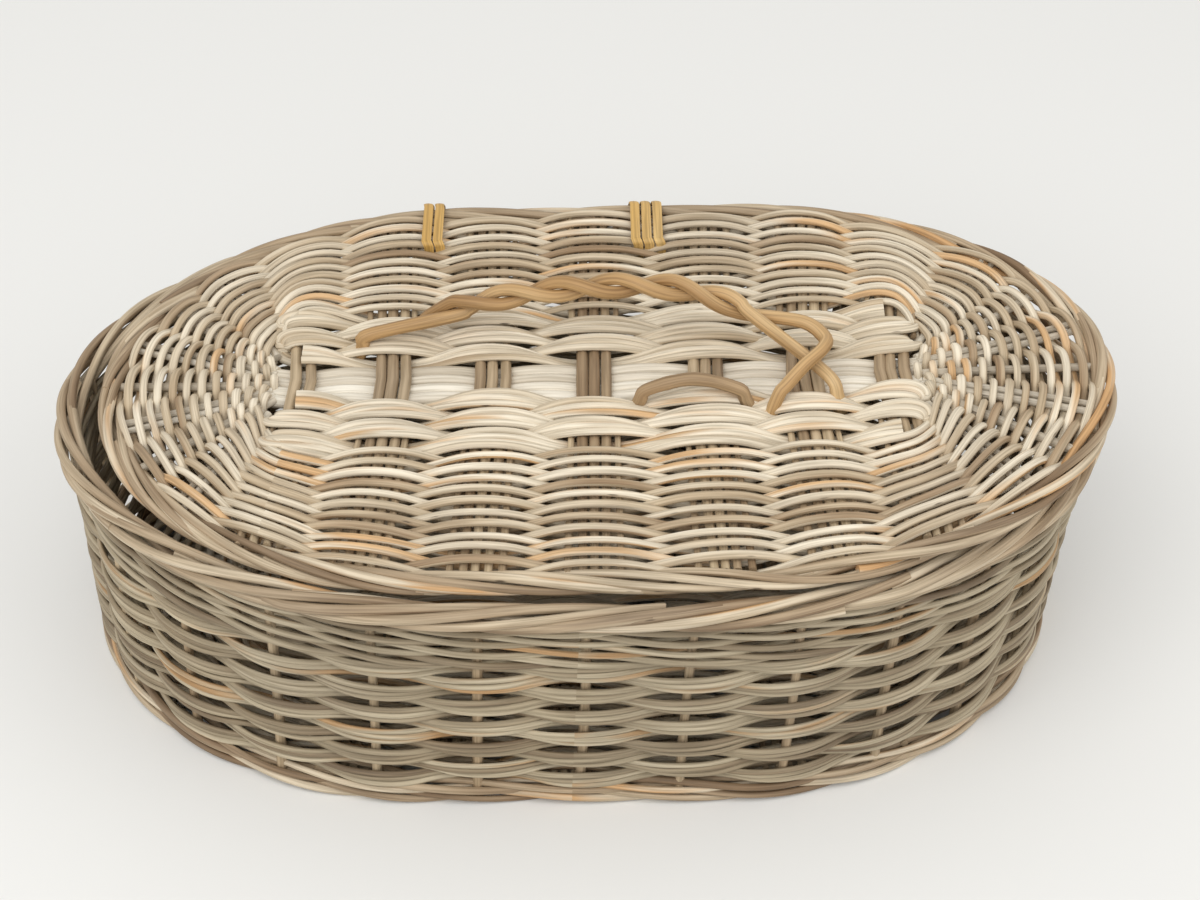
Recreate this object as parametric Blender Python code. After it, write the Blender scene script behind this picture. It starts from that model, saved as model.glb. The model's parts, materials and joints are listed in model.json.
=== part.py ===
"""Oval willow basket with a hinged lid, in metres, +Z up, standing on z = 0.

The lid and the base are made alike: a bundle of long sticks, seven groups of cross sticks laid over it,
short spokes that fan out at the two ends, and an oval plate of weaving round them. Stakes stand up from
the base through a foot wale, the side weaving and an upper wale, and their turned down tops are the rim.
Two cane loops sewn through the lid go round the rim's rear, and the lid turns about it. A twisted handle
of two rods and a low tail rod are stuck into the lid. Woven pieces are solids of their outer size: the side
weaving bulges out past one stake and in past the next, slew by slew, and the lid's plate has valleys between
its sticks. Sticks that lie side by side in a group are one ribbed solid.
"""
import math
from collections import namedtuple

import bmesh
import bpy
import numpy as np

for item in list(bpy.data.objects):
    bpy.data.objects.remove(item, do_unlink=True)

# Clearances: between neighbours, past a cut's end, and round the rim inside a loop
GAP = 0.0003
OVERRUN = 0.004
LOOP_SLACK = 0.0028

# Rim: the rolled border, its outer edge, the bundle's width and height
RIM_HALF_LENGTH = 0.240
RIM_HALF_WIDTH = 0.1465
RIM_STRAIGHT = 0.037
RIM_WIDTH = 0.014
RIM_HEIGHT = 0.012
RIM_OVERHANG = 0.0055

# The hinge line runs this far inside the rim's rear middle, since the rim curves forward at the left loop
AXIS_IN = 0.0013

# Wall: bands from the floor up, its thickness, how far it flares and leans
FOOT_WALE_HEIGHT = 0.012
SIDE_WEAVE_HEIGHT = 0.077
UPPER_WALE_HEIGHT = 0.026
WALL_THICKNESS = 0.0105
FLARE_ENDS = 0.0049
FLARE_SIDES = 0.0042
BASE_STRAIGHT = 0.063
LEAN = 0.0042

# Slews of the side weaving: how far each goes in past every other stake, and how tall its bulge stays
SLEW_COUNT = 11
SLEW_DENT = 0.006
SLEW_LOW_SHARE = 0.22

# Stakes in the wall, the first one's place as a share of the way round from the front's middle
STAKE_COUNT = 26
STAKE_DIAMETER = 0.005
STAKE_FOOT = 0.001
STAKE_IN_RIM = 0.004
FIRST_STAKE_SHARE = 0.0025

# Lid: how much smaller than the rim, how it lies on it, and its border bundle
LID_SHORT_ENDS = 0.0109
LID_SHORT_SIDES = 0.012
LID_STRAIGHT = 0.0637
LID_SHIFT = 0.010
LID_BACK = 0.0015
LID_BORDER_WIDTH = 0.012
LID_BORDER_HEIGHT = 0.010
LID_WEAVE_PROUD = 0.0005

# Base plate above the floor
BASE_LIFT = 0.003

# Sticks in the lid and in the base
PLATE_THICKNESS = 0.012
LONG_STICK_DIAMETER = 0.0062
LONG_STICK_COUNT = 4
CROSS_STICK_DIAMETER = 0.0054
STICKS_IN_GROUP = 3
RIB_TURN = math.radians(20)
COVER = 0.0012
SLATH_SHARE = 0.567
GROUP_SHARES = (-1.0, -0.70, -0.362, -0.024, 0.346, 0.67, 0.96)
_, SECOND_SHARE, _, FOURTH_SHARE, FIFTH_SHARE, SIXTH_SHARE, _ = GROUP_SHARES
SPLAY_SHARE = 0.064
SPLAY_REACH = 0.1
STICK_END = 0.001

# Valleys of the weaving between neighbouring sticks, as deep as this share of their width
VALLEY_DEPTH_SHARE = 0.13
VALLEY_BESIDE = 0.0008

# End spokes: their roots lie on a small half oval beside the last group
SPOKE_DIAMETER = 0.0046
SPOKES_EACH_END = 7
SPOKE_ROOT_OUT = 0.0135
SPOKE_ROOT_LENGTH = 0.012
SPOKE_ROOT_WIDTH = 0.024
SPOKE_ROOT_TURN = math.radians(24)
SPOKE_END_TURN = math.radians(13.4)

# Cane loops that hinge the lid
CANE_WIDTH = 0.0048
CANE_THICKNESS = 0.0016
CANE_SPACE = 0.0007
LOOP_STITCH = 0.0345
LOOP_CORNER = 0.0012
LEFT_LOOP_BESIDE = 0.0028
LEFT_LOOP_TURNS = 2
RIGHT_LOOP_BESIDE = 0.0068
RIGHT_LOOP_TURNS = 3
LOOP_STEPS = 24
LOOP_START = math.radians(200)

# Handle: two rods twisted along an arch; its places are x, y and height seen from the middle of a group
ROD_DIAMETER = 0.0062
TWIST_TURN_SHARE = 2.7615
TWIST_START = math.radians(150)
ARCH_LEFT = (0.0009, 0.0300)
ARCH_RIGHT = (0.0079, -0.0024)
ARCH_RISE = 0.035
ARCH_LEAN = math.radians(20)
ARCH_ALONG_SHARES = (0.13, 0.22, 0.36, 0.50, 0.64, 0.76, 0.84)
ARCH_HEIGHT_SHARES = (0.44, 0.62, 0.82, 0.95, 1.0, 0.88, 0.68)
ROD_DEPTH = 0.009
LEFT_FOOT_FRONT = (-0.0147, 0.0230)
LEFT_FOOT_REAR = (0.0118, 0.0380)
RIGHT_FOOT = (0.0136, -0.0180)
FOLD_FOOT = (-0.0144, -0.0235)
FOOT_RUN = 0.006
FOOT_STEP = 0.0035
ROD_BEND = (0.0023, -0.0035, 0.0085)
FOLD_ROUTE = ((-0.0007, 0.0125, 0.0180), (0.0088, 0.0045, 0.0150), (0.0073, -0.0045, 0.0158),
              (-0.0012, -0.0130, 0.0135), (-0.0097, -0.0195, 0.0070))
TAIL_LEFT = (0.0205, -0.0180)
TAIL_RIGHT = (0.0169, -0.0190)
TAIL_RISE = 0.0117

# Mesh fineness
END_STEPS = 24
SIDE_STEPS = 4
FINE = 90
STICK_SIDES = 6
ROD_SIDES = 8
ROD_STEP = 0.006
RING_SIDES = 10
RIB_POINTS = 4

Oval = namedtuple("Oval", "half_length half_width straight centre")


def inset(oval, depth):
    """The oval drawn in by depth all round."""
    return oval._replace(half_length=oval.half_length - depth, half_width=oval.half_width - depth)


def blend(first, second, share):
    """An oval part way from the first to the second."""
    return Oval(*[a + (b - a) * share for a, b in zip(first, second)])


def oval_points(oval, shares):
    """Points at shares of the way round, from the front's middle towards the right.

    The sides are straight for |x| < straight, and each end is half an ellipse.
    """
    turn = np.linspace(-math.pi / 2, math.pi / 2, 2 * FINE)
    right_x = oval.straight + (oval.half_length - oval.straight) * np.cos(turn)
    right_y = oval.half_width * np.sin(turn)
    x = np.concatenate([[0], right_x, -right_x[::-1], [0]])
    y = np.concatenate([[-oval.half_width], right_y, right_y[::-1], [-oval.half_width]])
    length = np.concatenate([[0], np.cumsum(np.hypot(np.diff(x), np.diff(y)))])
    along = (np.asarray(shares) % 1) * length[-1]
    return np.column_stack([np.interp(along, length, x) + oval.centre, np.interp(along, length, y)])


def oval_loop(oval, z):
    """The oval as a closed row of points at height z, at equal turns so that inset ovals stay parallel."""
    turn = np.linspace(-math.pi / 2, math.pi / 2, END_STEPS + 1)
    side = np.linspace(1, -1, SIDE_STEPS + 1)[1:-1] * oval.straight
    end = np.column_stack([oval.straight + (oval.half_length - oval.straight) * np.cos(turn),
                           oval.half_width * np.sin(turn)])
    half = np.vstack([end, np.column_stack([side, np.full(SIDE_STEPS - 1, oval.half_width)])])
    flat = np.vstack([half, -half]) + (oval.centre, 0)
    return np.column_stack([flat, np.full(len(flat), z)])


def side_limit(oval, x):
    """Half-width of the oval at x."""
    past = np.maximum(np.abs(x - oval.centre) - oval.straight, 0) / (oval.half_length - oval.straight)
    return oval.half_width * np.sqrt(1 - past ** 2)


def frames(points):
    """Tangent and two cross directions at each point, carried along without twist."""
    tangent = np.gradient(points, axis=0)
    tangent /= np.linalg.norm(tangent, axis=1)[:, None]
    start = np.array([1.0, 0, 0]) if abs(tangent[0][0]) < 0.9 else np.array([0, 0, 1.0])
    across = []
    for direction in tangent:
        start = start - direction * (start @ direction)
        start /= np.linalg.norm(start)
        across.append(start)
    across = np.array(across)
    return tangent, across, np.cross(tangent, across)


def tube(points, radius, sides):
    """Rows of points of a round tube along a path."""
    points = np.asarray(points, float)
    _, across, over = frames(points)
    turn = np.arange(sides) * 2 * math.pi / sides
    ring = np.cos(turn)[:, None, None] * across + np.sin(turn)[:, None, None] * over
    return list((points + radius * ring).transpose(1, 0, 2))


def ribbed(diameter, count):
    """Section of sticks side by side, as (aside, up) points: arcs that meet where they touch."""
    pitch = diameter * math.cos(RIB_TURN)
    turn = np.linspace(math.pi - RIB_TURN, RIB_TURN, RIB_POINTS)
    top = []
    for at in range(count):
        aside = (at - (count - 1) / 2) * pitch
        arc = np.column_stack([aside + diameter / 2 * np.cos(turn), diameter / 2 * np.sin(turn)])
        top.extend(arc if at == 0 else arc[1:])
    top = np.array(top)
    return np.vstack([top, top[::-1] * (1, -1)])


def smooth(points, step):
    """A Catmull-Rom curve through the points, cut into equal steps of about the given length."""
    points = np.asarray(points, float)
    padded = np.vstack([2 * points[0] - points[1], points, 2 * points[-1] - points[-2]])
    share = np.linspace(0, 1, FINE)[:, None]
    pieces = []
    for before, here, there, after in zip(padded, padded[1:], padded[2:], padded[3:]):
        bend = 2 * before - 5 * here + 4 * there - after
        turn = 3 * (here - there) + after - before
        pieces.append(here + 0.5 * share * (there - before + share * (bend + share * turn)))
    fine = np.vstack(pieces)
    length = np.concatenate([[0], np.cumsum(np.linalg.norm(np.diff(fine, axis=0), axis=1))])
    count = max(3, round(length[-1] / step))
    along = np.linspace(0, length[-1], count)
    return np.column_stack([np.interp(along, length, fine[:, axis]) for axis in range(3)])


def add_body(mesh, rows, closed=False):
    """Skin rows of points, each a closed loop, and cap the first and last unless the rows close up."""
    made = [[mesh.verts.new(point) for point in row] for row in rows]
    pairs = list(zip(made, made[1:]))
    if closed:
        pairs.append((made[-1], made[0]))
    for lower, upper in pairs:
        for at in range(len(lower)):
            after = (at + 1) % len(lower)
            mesh.faces.new((lower[at], lower[after], upper[after], upper[at]))
    if not closed:
        mesh.faces.new(list(reversed(made[0])))
        mesh.faces.new(made[-1])


def make(name, bodies, colour=None, rough=0.6, closed=False, carrier=None, place=(0, 0, 0),
         smooth_over=None):
    """One object of closed bodies; without a colour it is a hidden cutter."""
    mesh = bmesh.new()
    for rows in bodies:
        add_body(mesh, rows, closed)
    bmesh.ops.recalc_face_normals(mesh, faces=mesh.faces)
    data = bpy.data.meshes.new(name)
    mesh.to_mesh(data)
    mesh.free()
    thing = bpy.data.objects.new(name, data)
    bpy.context.scene.collection.objects.link(thing)
    thing.parent = carrier
    thing.location = place
    if colour is None:
        thing.hide_render = True
        thing.display_type = "WIRE"
        return thing
    finish = bpy.data.materials.new(name)
    finish.use_nodes = True
    shader = finish.node_tree.nodes["Principled BSDF"]
    shader.inputs["Base Color"].default_value = (*colour, 1)
    shader.inputs["Roughness"].default_value = rough
    shader.inputs["Metallic"].default_value = 0
    data.materials.append(finish)
    if smooth_over:
        data.shade_smooth()
        data.set_sharp_from_angle(angle=smooth_over)
    return thing


def cut(thing, cutter, operation="DIFFERENCE"):
    """Take the cutter's space out of a piece, or join the cutter to it."""
    modifier = thing.modifiers.new(cutter.name, "BOOLEAN")
    modifier.operation = operation
    modifier.solver = "EXACT"
    modifier.object = cutter


def box(low, high):
    """Two rows of a box between two corners."""
    flat = [(low[0], low[1]), (high[0], low[1]), (high[0], high[1]), (low[0], high[1])]
    return [[(x, y, z) for x, y in flat] for z in (low[2], high[2])]


ROUND = math.radians(50)
PALE = (0.72, 0.61, 0.44)
TAN = (0.55, 0.42, 0.26)
BROWN = (0.42, 0.31, 0.20)
GREY = (0.45, 0.37, 0.29)
HONEY = (0.60, 0.40, 0.18)
GOLD = (0.70, 0.50, 0.20)

# Levels and ovals that follow from the sizes
SIDE_BOTTOM = FOOT_WALE_HEIGHT + GAP
SIDE_TOP = SIDE_BOTTOM + SIDE_WEAVE_HEIGHT
UPPER_BOTTOM = SIDE_TOP + GAP
UPPER_TOP = UPPER_BOTTOM + UPPER_WALE_HEIGHT
RIM_BOTTOM = UPPER_TOP + GAP
RIM_TOP = RIM_BOTTOM + RIM_HEIGHT
RIM = Oval(RIM_HALF_LENGTH, RIM_HALF_WIDTH, RIM_STRAIGHT, 0)
WALL_HEAD = inset(RIM, RIM_OVERHANG)
WALL_FOOT = Oval(WALL_HEAD.half_length - FLARE_ENDS, WALL_HEAD.half_width - FLARE_SIDES,
                 BASE_STRAIGHT, -LEAN)
LID = Oval(RIM_HALF_LENGTH - LID_SHORT_ENDS, RIM_HALF_WIDTH - LID_SHORT_SIDES, LID_STRAIGHT, 0)
LID_TOP = RIM_TOP + LID_BORDER_HEIGHT + GAP
AXIS_Y = RIM_HALF_WIDTH - RIM_WIDTH / 2 - AXIS_IN
AXIS_Z = RIM_TOP - RIM_HEIGHT / 2
SLATH_HALF_LENGTH = SLATH_SHARE * RIM_HALF_LENGTH

# The lid's pieces hang on an empty that lies on the hinge line
hinge_line = bpy.data.objects.new("hinge_line", None)
hinge_line.location = (LID_SHIFT, AXIS_Y, AXIS_Z)
bpy.context.scene.collection.objects.link(hinge_line)
LID_PLACE = (0, LID_BACK - AXIS_Y, LID_TOP - AXIS_Z)


def wall_at(z, depth=0):
    """The wall's oval at height z, in from its outer face."""
    return inset(blend(WALL_FOOT, WALL_HEAD, z / RIM_BOTTOM), depth)


def wall_band(name, low, high, colour):
    """One band of the wall between two heights."""
    corners = ((0, low), (0, high), (WALL_THICKNESS, high), (WALL_THICKNESS, low))
    rows = [oval_loop(wall_at(z, depth), z) for depth, z in corners]
    return make(name, [rows], colour, 0.7, closed=True)


def bundle(name, oval, width, height, top, colour, **where):
    """A border: a bundle of rods as one ring with an elliptical section, flat at top and bottom."""
    rows = []
    for step in range(RING_SIDES):
        turn = step * 2 * math.pi / RING_SIDES
        depth = width / 2 * (1 - math.cos(turn))
        rows.append(oval_loop(inset(oval, depth), top - height / 2 * (1 - math.sin(turn))))
    return make(name, [rows], colour, 0.65, closed=True, smooth_over=ROUND, **where)


def stake_lines(low, high):
    """The middle lines of the stakes between two heights, in the middle of the wall."""
    shares = FIRST_STAKE_SHARE + np.arange(STAKE_COUNT) / STAKE_COUNT
    ends = [np.column_stack([oval_points(wall_at(z, WALL_THICKNESS / 2), shares), np.full(STAKE_COUNT, z)])
            for z in (low, high)]
    return list(np.stack(ends, axis=1))


def slew_loop(z, slew):
    """The outside of a slew at height z: a zigzag, out at one stake and SLEW_DENT further in at the next."""
    count = 2 * STAKE_COUNT
    steps = np.arange(count)
    depths = SLEW_DENT * np.abs((steps + 2 * slew) % 4 - 2) / 2
    shares = FIRST_STAKE_SHARE + steps / count
    flat = [oval_points(wall_at(z, depth), share)[0] for depth, share in zip(depths, shares)]
    return np.column_stack([flat, np.full(count, z)])


def make_side_weave():
    """The side weaving: slews one over another, each out where its neighbours are in, hollow inside."""
    pitch = SIDE_WEAVE_HEIGHT / SLEW_COUNT
    rows = []
    for slew in range(SLEW_COUNT):
        low = SLEW_LOW_SHARE if slew else 0
        high = 1 - SLEW_LOW_SHARE if slew < SLEW_COUNT - 1 else 1
        rows += [slew_loop(SIDE_BOTTOM + (slew + share) * pitch, slew) for share in (low, high)]
    side = make("side_weave", [rows], TAN, 0.7)
    levels = (SIDE_BOTTOM - OVERRUN, SIDE_TOP + OVERRUN)
    cut(side, make("side_hollow", [[oval_loop(wall_at(z, WALL_THICKNESS), z) for z in levels]]))
    return side


def make_wall():
    """The three woven bands of the wall, and the stakes that run through them and make the rim."""
    foot = wall_band("foot_wale", 0, FOOT_WALE_HEIGHT, BROWN)
    side = make_side_weave()
    upper = wall_band("upper_wale", UPPER_BOTTOM, UPPER_TOP, BROWN)
    bores = [tube(line, STAKE_DIAMETER / 2 + 1.2 * GAP, STICK_SIDES)
             for line in stake_lines(-OVERRUN, RIM_BOTTOM + OVERRUN)]
    stake_bores = make("stake_bores", bores)
    for band in (foot, side, upper):
        cut(band, stake_bores)
    rim = bundle("stakes_and_rim", RIM, RIM_WIDTH, RIM_HEIGHT, RIM_TOP, BROWN)
    rods = [tube(line, STAKE_DIAMETER / 2, STICK_SIDES)
            for line in stake_lines(STAKE_FOOT, RIM_BOTTOM + STAKE_IN_RIM)]
    cut(rim, make("stakes", rods), "UNION")
    return upper


def splayed(share, reach):
    """Where a group of cross sticks is along the plate, at a distance from the plate's middle line."""
    return share * SLATH_HALF_LENGTH * (1 + SPLAY_SHARE * reach / SPLAY_REACH)


def group_line(share, reach):
    """Middle line of a group of cross sticks: straight halves that splay away from the middle."""
    return np.array([(splayed(share, abs(y)), y) for y in (-reach, 0, reach)])


def by_group(share, place):
    """A place that is given from the middle of a group of cross sticks, seen from the plate's middle."""
    return (share * SLATH_HALF_LENGTH + place[0], *place[1:])


def make_plate(prefix, oval, top, ridged, **where):
    """A woven oval plate with its long sticks, cross sticks and end spokes, plain or with valleys on top."""
    cross = ribbed(CROSS_STICK_DIAMETER, STICKS_IN_GROUP)
    long = ribbed(LONG_STICK_DIAMETER, LONG_STICK_COUNT)
    group_half = cross[:, 0].max()
    cross_z = top - COVER - GAP - CROSS_STICK_DIAMETER / 2
    long_z = cross_z - CROSS_STICK_DIAMETER / 2 - GAP - LONG_STICK_DIAMETER / 2
    bottom = top - PLATE_THICKNESS
    left = oval.centre + min(GROUP_SHARES) * SLATH_HALF_LENGTH - group_half - 2 * GAP
    right = oval.centre + max(GROUP_SHARES) * SLATH_HALF_LENGTH + group_half + 2 * GAP

    weave = make(prefix + "_weave", [[oval_loop(oval, bottom), oval_loop(oval, top)]], TAN, 0.7, **where)
    window_half = long[:, 0].max() + GAP
    window = box((left, -window_half, bottom - OVERRUN), (right, window_half, top + OVERRUN))
    cut(weave, make(prefix + "_window", [window], **where))
    ends = [[(x, aside, long_z + up) for aside, up in long] for x in (left + GAP, right - GAP)]
    make(prefix + "_long_sticks", [ends], PALE, 0.55, smooth_over=ROUND, **where)

    channels = []
    for number, share in enumerate(GROUP_SHARES, 1):
        furthest = oval.centre + splayed(abs(share), oval.half_width) + group_half
        reach = float(side_limit(oval, furthest)) - STICK_END
        rows = [[(oval.centre + x + aside, y, cross_z + up) for aside, up in cross]
                for x, y in group_line(share, reach)]
        make(f"{prefix}_cross_sticks_{number}", [rows], GREY, 0.6, smooth_over=ROUND, **where)
        half_width, half_height = group_half + GAP, CROSS_STICK_DIAMETER / 2 + GAP
        corners = ((-half_width, -half_height), (half_width, -half_height),
                   (half_width, half_height), (-half_width, half_height))
        channels.append([[(oval.centre + x + aside, y, cross_z + up) for aside, up in corners]
                         for x, y in group_line(share, oval.half_width + OVERRUN)])
    cut(weave, make(prefix + "_stick_channels", channels, **where))
    valleys = group_valleys(oval, group_half + GAP + VALLEY_BESIDE, window_half + VALLEY_BESIDE, top)
    valleys += make_spokes(prefix, oval, weave, top, where)
    if ridged:
        cut(weave, make(prefix + "_valleys", valleys, **where))
    return weave


def valley(near, far, top):
    """Rows of a V between two ridges; near and far are the flat places of both ridges at its two ends."""
    rows = []
    for left, right in (near, far):
        left, right = np.array(left), np.array(right)
        low = top - VALLEY_DEPTH_SHARE * np.linalg.norm(right - left)
        rows.append([(*left, top + GAP), (*right, top + GAP), (*(left + right) / 2, low)])
    return rows


def group_valleys(oval, beside, start, top):
    """The valleys between neighbouring groups, from the long sticks to the plate's edge on both sides."""
    valleys = []
    for left, right in zip(GROUP_SHARES, GROUP_SHARES[1:]):
        for way in (-1, 1):
            ends = [[(oval.centre + splayed(left, y) + beside, way * y),
                     (oval.centre + splayed(right, y) - beside, way * y)]
                    for y in (start, oval.half_width + OVERRUN)]
            valleys.append(valley(*ends, top))
    return valleys


def make_spokes(prefix, oval, weave, top, where):
    """The fans of short spokes at the two ends, the bores that they lie in and the valleys between."""
    bores, valleys = [], []
    z = top - PLATE_THICKNESS / 2
    for side, name, share in ((-1, "left", min(GROUP_SHARES)), (1, "right", max(GROUP_SHARES))):
        lines = []
        for at in range(SPOKES_EACH_END):
            order = at - (SPOKES_EACH_END - 1) / 2
            root_turn, end_turn = order * SPOKE_ROOT_TURN, order * SPOKE_END_TURN
            root_x = abs(share) * SLATH_HALF_LENGTH + SPOKE_ROOT_OUT + SPOKE_ROOT_LENGTH * math.cos(root_turn)
            root = np.array([oval.centre + side * root_x, SPOKE_ROOT_WIDTH * math.sin(root_turn), z])
            end_x = oval.straight + (oval.half_length - oval.straight) * math.cos(end_turn)
            end = np.array([oval.centre + side * end_x, oval.half_width * math.sin(end_turn), z])
            along = (end - root) / np.linalg.norm(end - root)
            rod = tube([root, end - STICK_END * along], SPOKE_DIAMETER / 2, STICK_SIDES)
            make(f"{prefix}_spoke_{name}_{at + 1}", [rod], PALE, 0.55, smooth_over=ROUND, **where)
            bores.append(tube([root - GAP * along, end + OVERRUN * along],
                              SPOKE_DIAMETER / 2 + 1.2 * GAP, STICK_SIDES))
            lines.append((root[:2], (end + OVERRUN * along)[:2], np.array([-along[1], along[0]]) * side))
        for (root, end, aside), (next_root, next_end, next_aside) in zip(lines, lines[1:]):
            inner = (root + VALLEY_BESIDE * aside, next_root - VALLEY_BESIDE * next_aside)
            outer = (end + VALLEY_BESIDE * aside, next_end - VALLEY_BESIDE * next_aside)
            valleys.append(valley(inner, outer, top))
    cut(weave, make(prefix + "_spoke_bores", bores, **where))
    return valleys


def loop_path(turns, middle_x):
    """The cane's middle line, its outward direction and the least gap between its turns.

    In the hinge's own frame the cane is pulled tight round four round pegs: the rim with slack, the lid's
    border, and two small corners where the loop goes down through the lid. At each angle it lies on
    whichever peg reaches out furthest that way, so the straight runs come by themselves.
    """
    lift = CANE_THICKNESS / 2
    lid_y, lid_z = LID_PLACE[1], LID_PLACE[2]
    slack = RIM_WIDTH / 2 + LOOP_SLACK + lift
    border = (LID_BORDER_WIDTH / 2 + GAP + lift, LID_BORDER_HEIGHT / 2 + LID_WEAVE_PROUD + GAP + lift)
    corner = LOOP_CORNER + lift
    stitch_y = lid_y + LID.half_width - LOOP_STITCH
    top_z = lid_z + LID_WEAVE_PROUD + GAP - LOOP_CORNER
    low_z = lid_z + LID_WEAVE_PROUD - PLATE_THICKNESS - GAP + LOOP_CORNER
    pegs = [((0, 0), (slack, slack)),
            ((lid_y + LID.half_width - LID_BORDER_WIDTH / 2, lid_z - LID_BORDER_HEIGHT / 2), border),
            ((stitch_y, top_z), (corner, corner)),
            ((stitch_y, low_z), (corner, corner))]
    angle = LOOP_START + np.arange(LOOP_STEPS * turns) * 2 * math.pi / LOOP_STEPS
    way = np.column_stack([np.cos(angle), np.sin(angle)])
    choices = []
    for centre, radii in pegs:
        reach = np.sqrt(((way * radii) ** 2).sum(axis=1))
        choices.append(np.array(centre) + way * np.array(radii) ** 2 / reach[:, None])
    choices = np.array(choices)
    best = np.argmax((choices * way).sum(axis=2), axis=0)
    flat = choices[best, np.arange(len(angle))]
    pitch = CANE_WIDTH + CANE_SPACE
    x = middle_x + pitch * ((angle - LOOP_START) / (2 * math.pi) - turns / 2)
    points = np.column_stack([x, flat])
    outward = np.column_stack([np.zeros(len(angle)), way])
    apart = [np.linalg.norm(points[LOOP_STEPS:] - points[:-LOOP_STEPS], axis=1).min() - CANE_WIDTH
             if turns > 1 else CANE_SPACE]
    return points, outward, apart[0]


def make_loop(name, middle_x, turns, colour):
    """A hinge loop: flat cane wound round the rim and the lid's rear edge."""
    points, outward, least = loop_path(turns, middle_x)
    print(f"{name}: {turns} turns of cane, least gap between turns {least * 1000:.2f} mm")
    tangent = np.gradient(points, axis=0)
    tangent /= np.linalg.norm(tangent, axis=1)[:, None]
    outward = outward - tangent * (outward * tangent).sum(axis=1)[:, None]
    outward /= np.linalg.norm(outward, axis=1)[:, None]
    across = np.cross(tangent, outward)
    turn = (np.arange(STICK_SIDES) + 0.5) * 2 * math.pi / STICK_SIDES
    rows = []
    for point, out, side in zip(points, outward, across):
        rows.append(point + CANE_THICKNESS / 2 * np.sin(turn)[:, None] * out
                    + CANE_WIDTH / 2 * np.cos(turn)[:, None] * side)
    make(name, [rows], colour, 0.4, carrier=hinge_line, smooth_over=ROUND)


def loop_half(turns):
    """Half of the width that a loop's turns take."""
    return (turns * (CANE_WIDTH + CANE_SPACE) + CANE_WIDTH) / 2


def loop_middle(group, beside, turns):
    """Where a loop's middle is along the lid: it is sewn just to the right of a group of cross sticks."""
    group_x = splayed(group, LID.half_width - LOOP_STITCH)
    return group_x + ribbed(CROSS_STICK_DIAMETER, STICKS_IN_GROUP)[:, 0].max() + beside + loop_half(turns)


def make_hinge(weave, upper):
    """Two cane loops, their slots through the lid's weaving and the hollow under the rim's rear."""
    slots, hollows = [], []
    reach = RIM_WIDTH / 2 + LOOP_SLACK + CANE_THICKNESS
    stitch_y = LID.half_width - LOOP_STITCH
    left = ("hinge_loop_left", SECOND_SHARE, LEFT_LOOP_BESIDE, LEFT_LOOP_TURNS)
    right = ("hinge_loop_right", FOURTH_SHARE, RIGHT_LOOP_BESIDE, RIGHT_LOOP_TURNS)
    for name, group, beside, turns in (left, right):
        x = loop_middle(group, beside, turns)
        make_loop(name, x, turns, GOLD)
        half = loop_half(turns) + GAP
        slot_y = stitch_y - LOOP_CORNER - CANE_THICKNESS - GAP
        slots.append(box((x - half, slot_y, -PLATE_THICKNESS - OVERRUN), (x + half, stitch_y + GAP, OVERRUN)))
        hollows.append(box((x - half, -RIM_HALF_WIDTH / 2, -reach - GAP), (x + half, RIM_HALF_WIDTH / 2, 0)))
    cut(weave, make("loop_slots", slots, carrier=hinge_line, place=LID_PLACE))
    cut(upper, make("loop_hollows", hollows, carrier=hinge_line))


def foot(place, towards, depth=ROD_DEPTH):
    """Points of a rod's end stuck into the lid at a place, leaning towards a second place."""
    place, towards = np.array(place), np.array(towards[:2])
    way = (towards - place) / np.linalg.norm(towards - place)
    low = np.append(place - way * FOOT_STEP, -depth)
    return [low, np.append(place, 0), np.append(place + way * FOOT_STEP, FOOT_RUN)]


def arch_point(along, height):
    """A place on the leaning arch, from shares of its span and rise."""
    left, right = np.array(by_group(SECOND_SHARE, ARCH_LEFT)), np.array(by_group(SIXTH_SHARE, ARCH_RIGHT))
    span = right - left
    way = span / np.linalg.norm(span)
    rear = np.array([-way[1], way[0]])
    rise = height * ARCH_RISE
    flat = left + along * span + rear * rise * math.sin(ARCH_LEAN)
    return np.append(flat, rise * math.cos(ARCH_LEAN))


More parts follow.
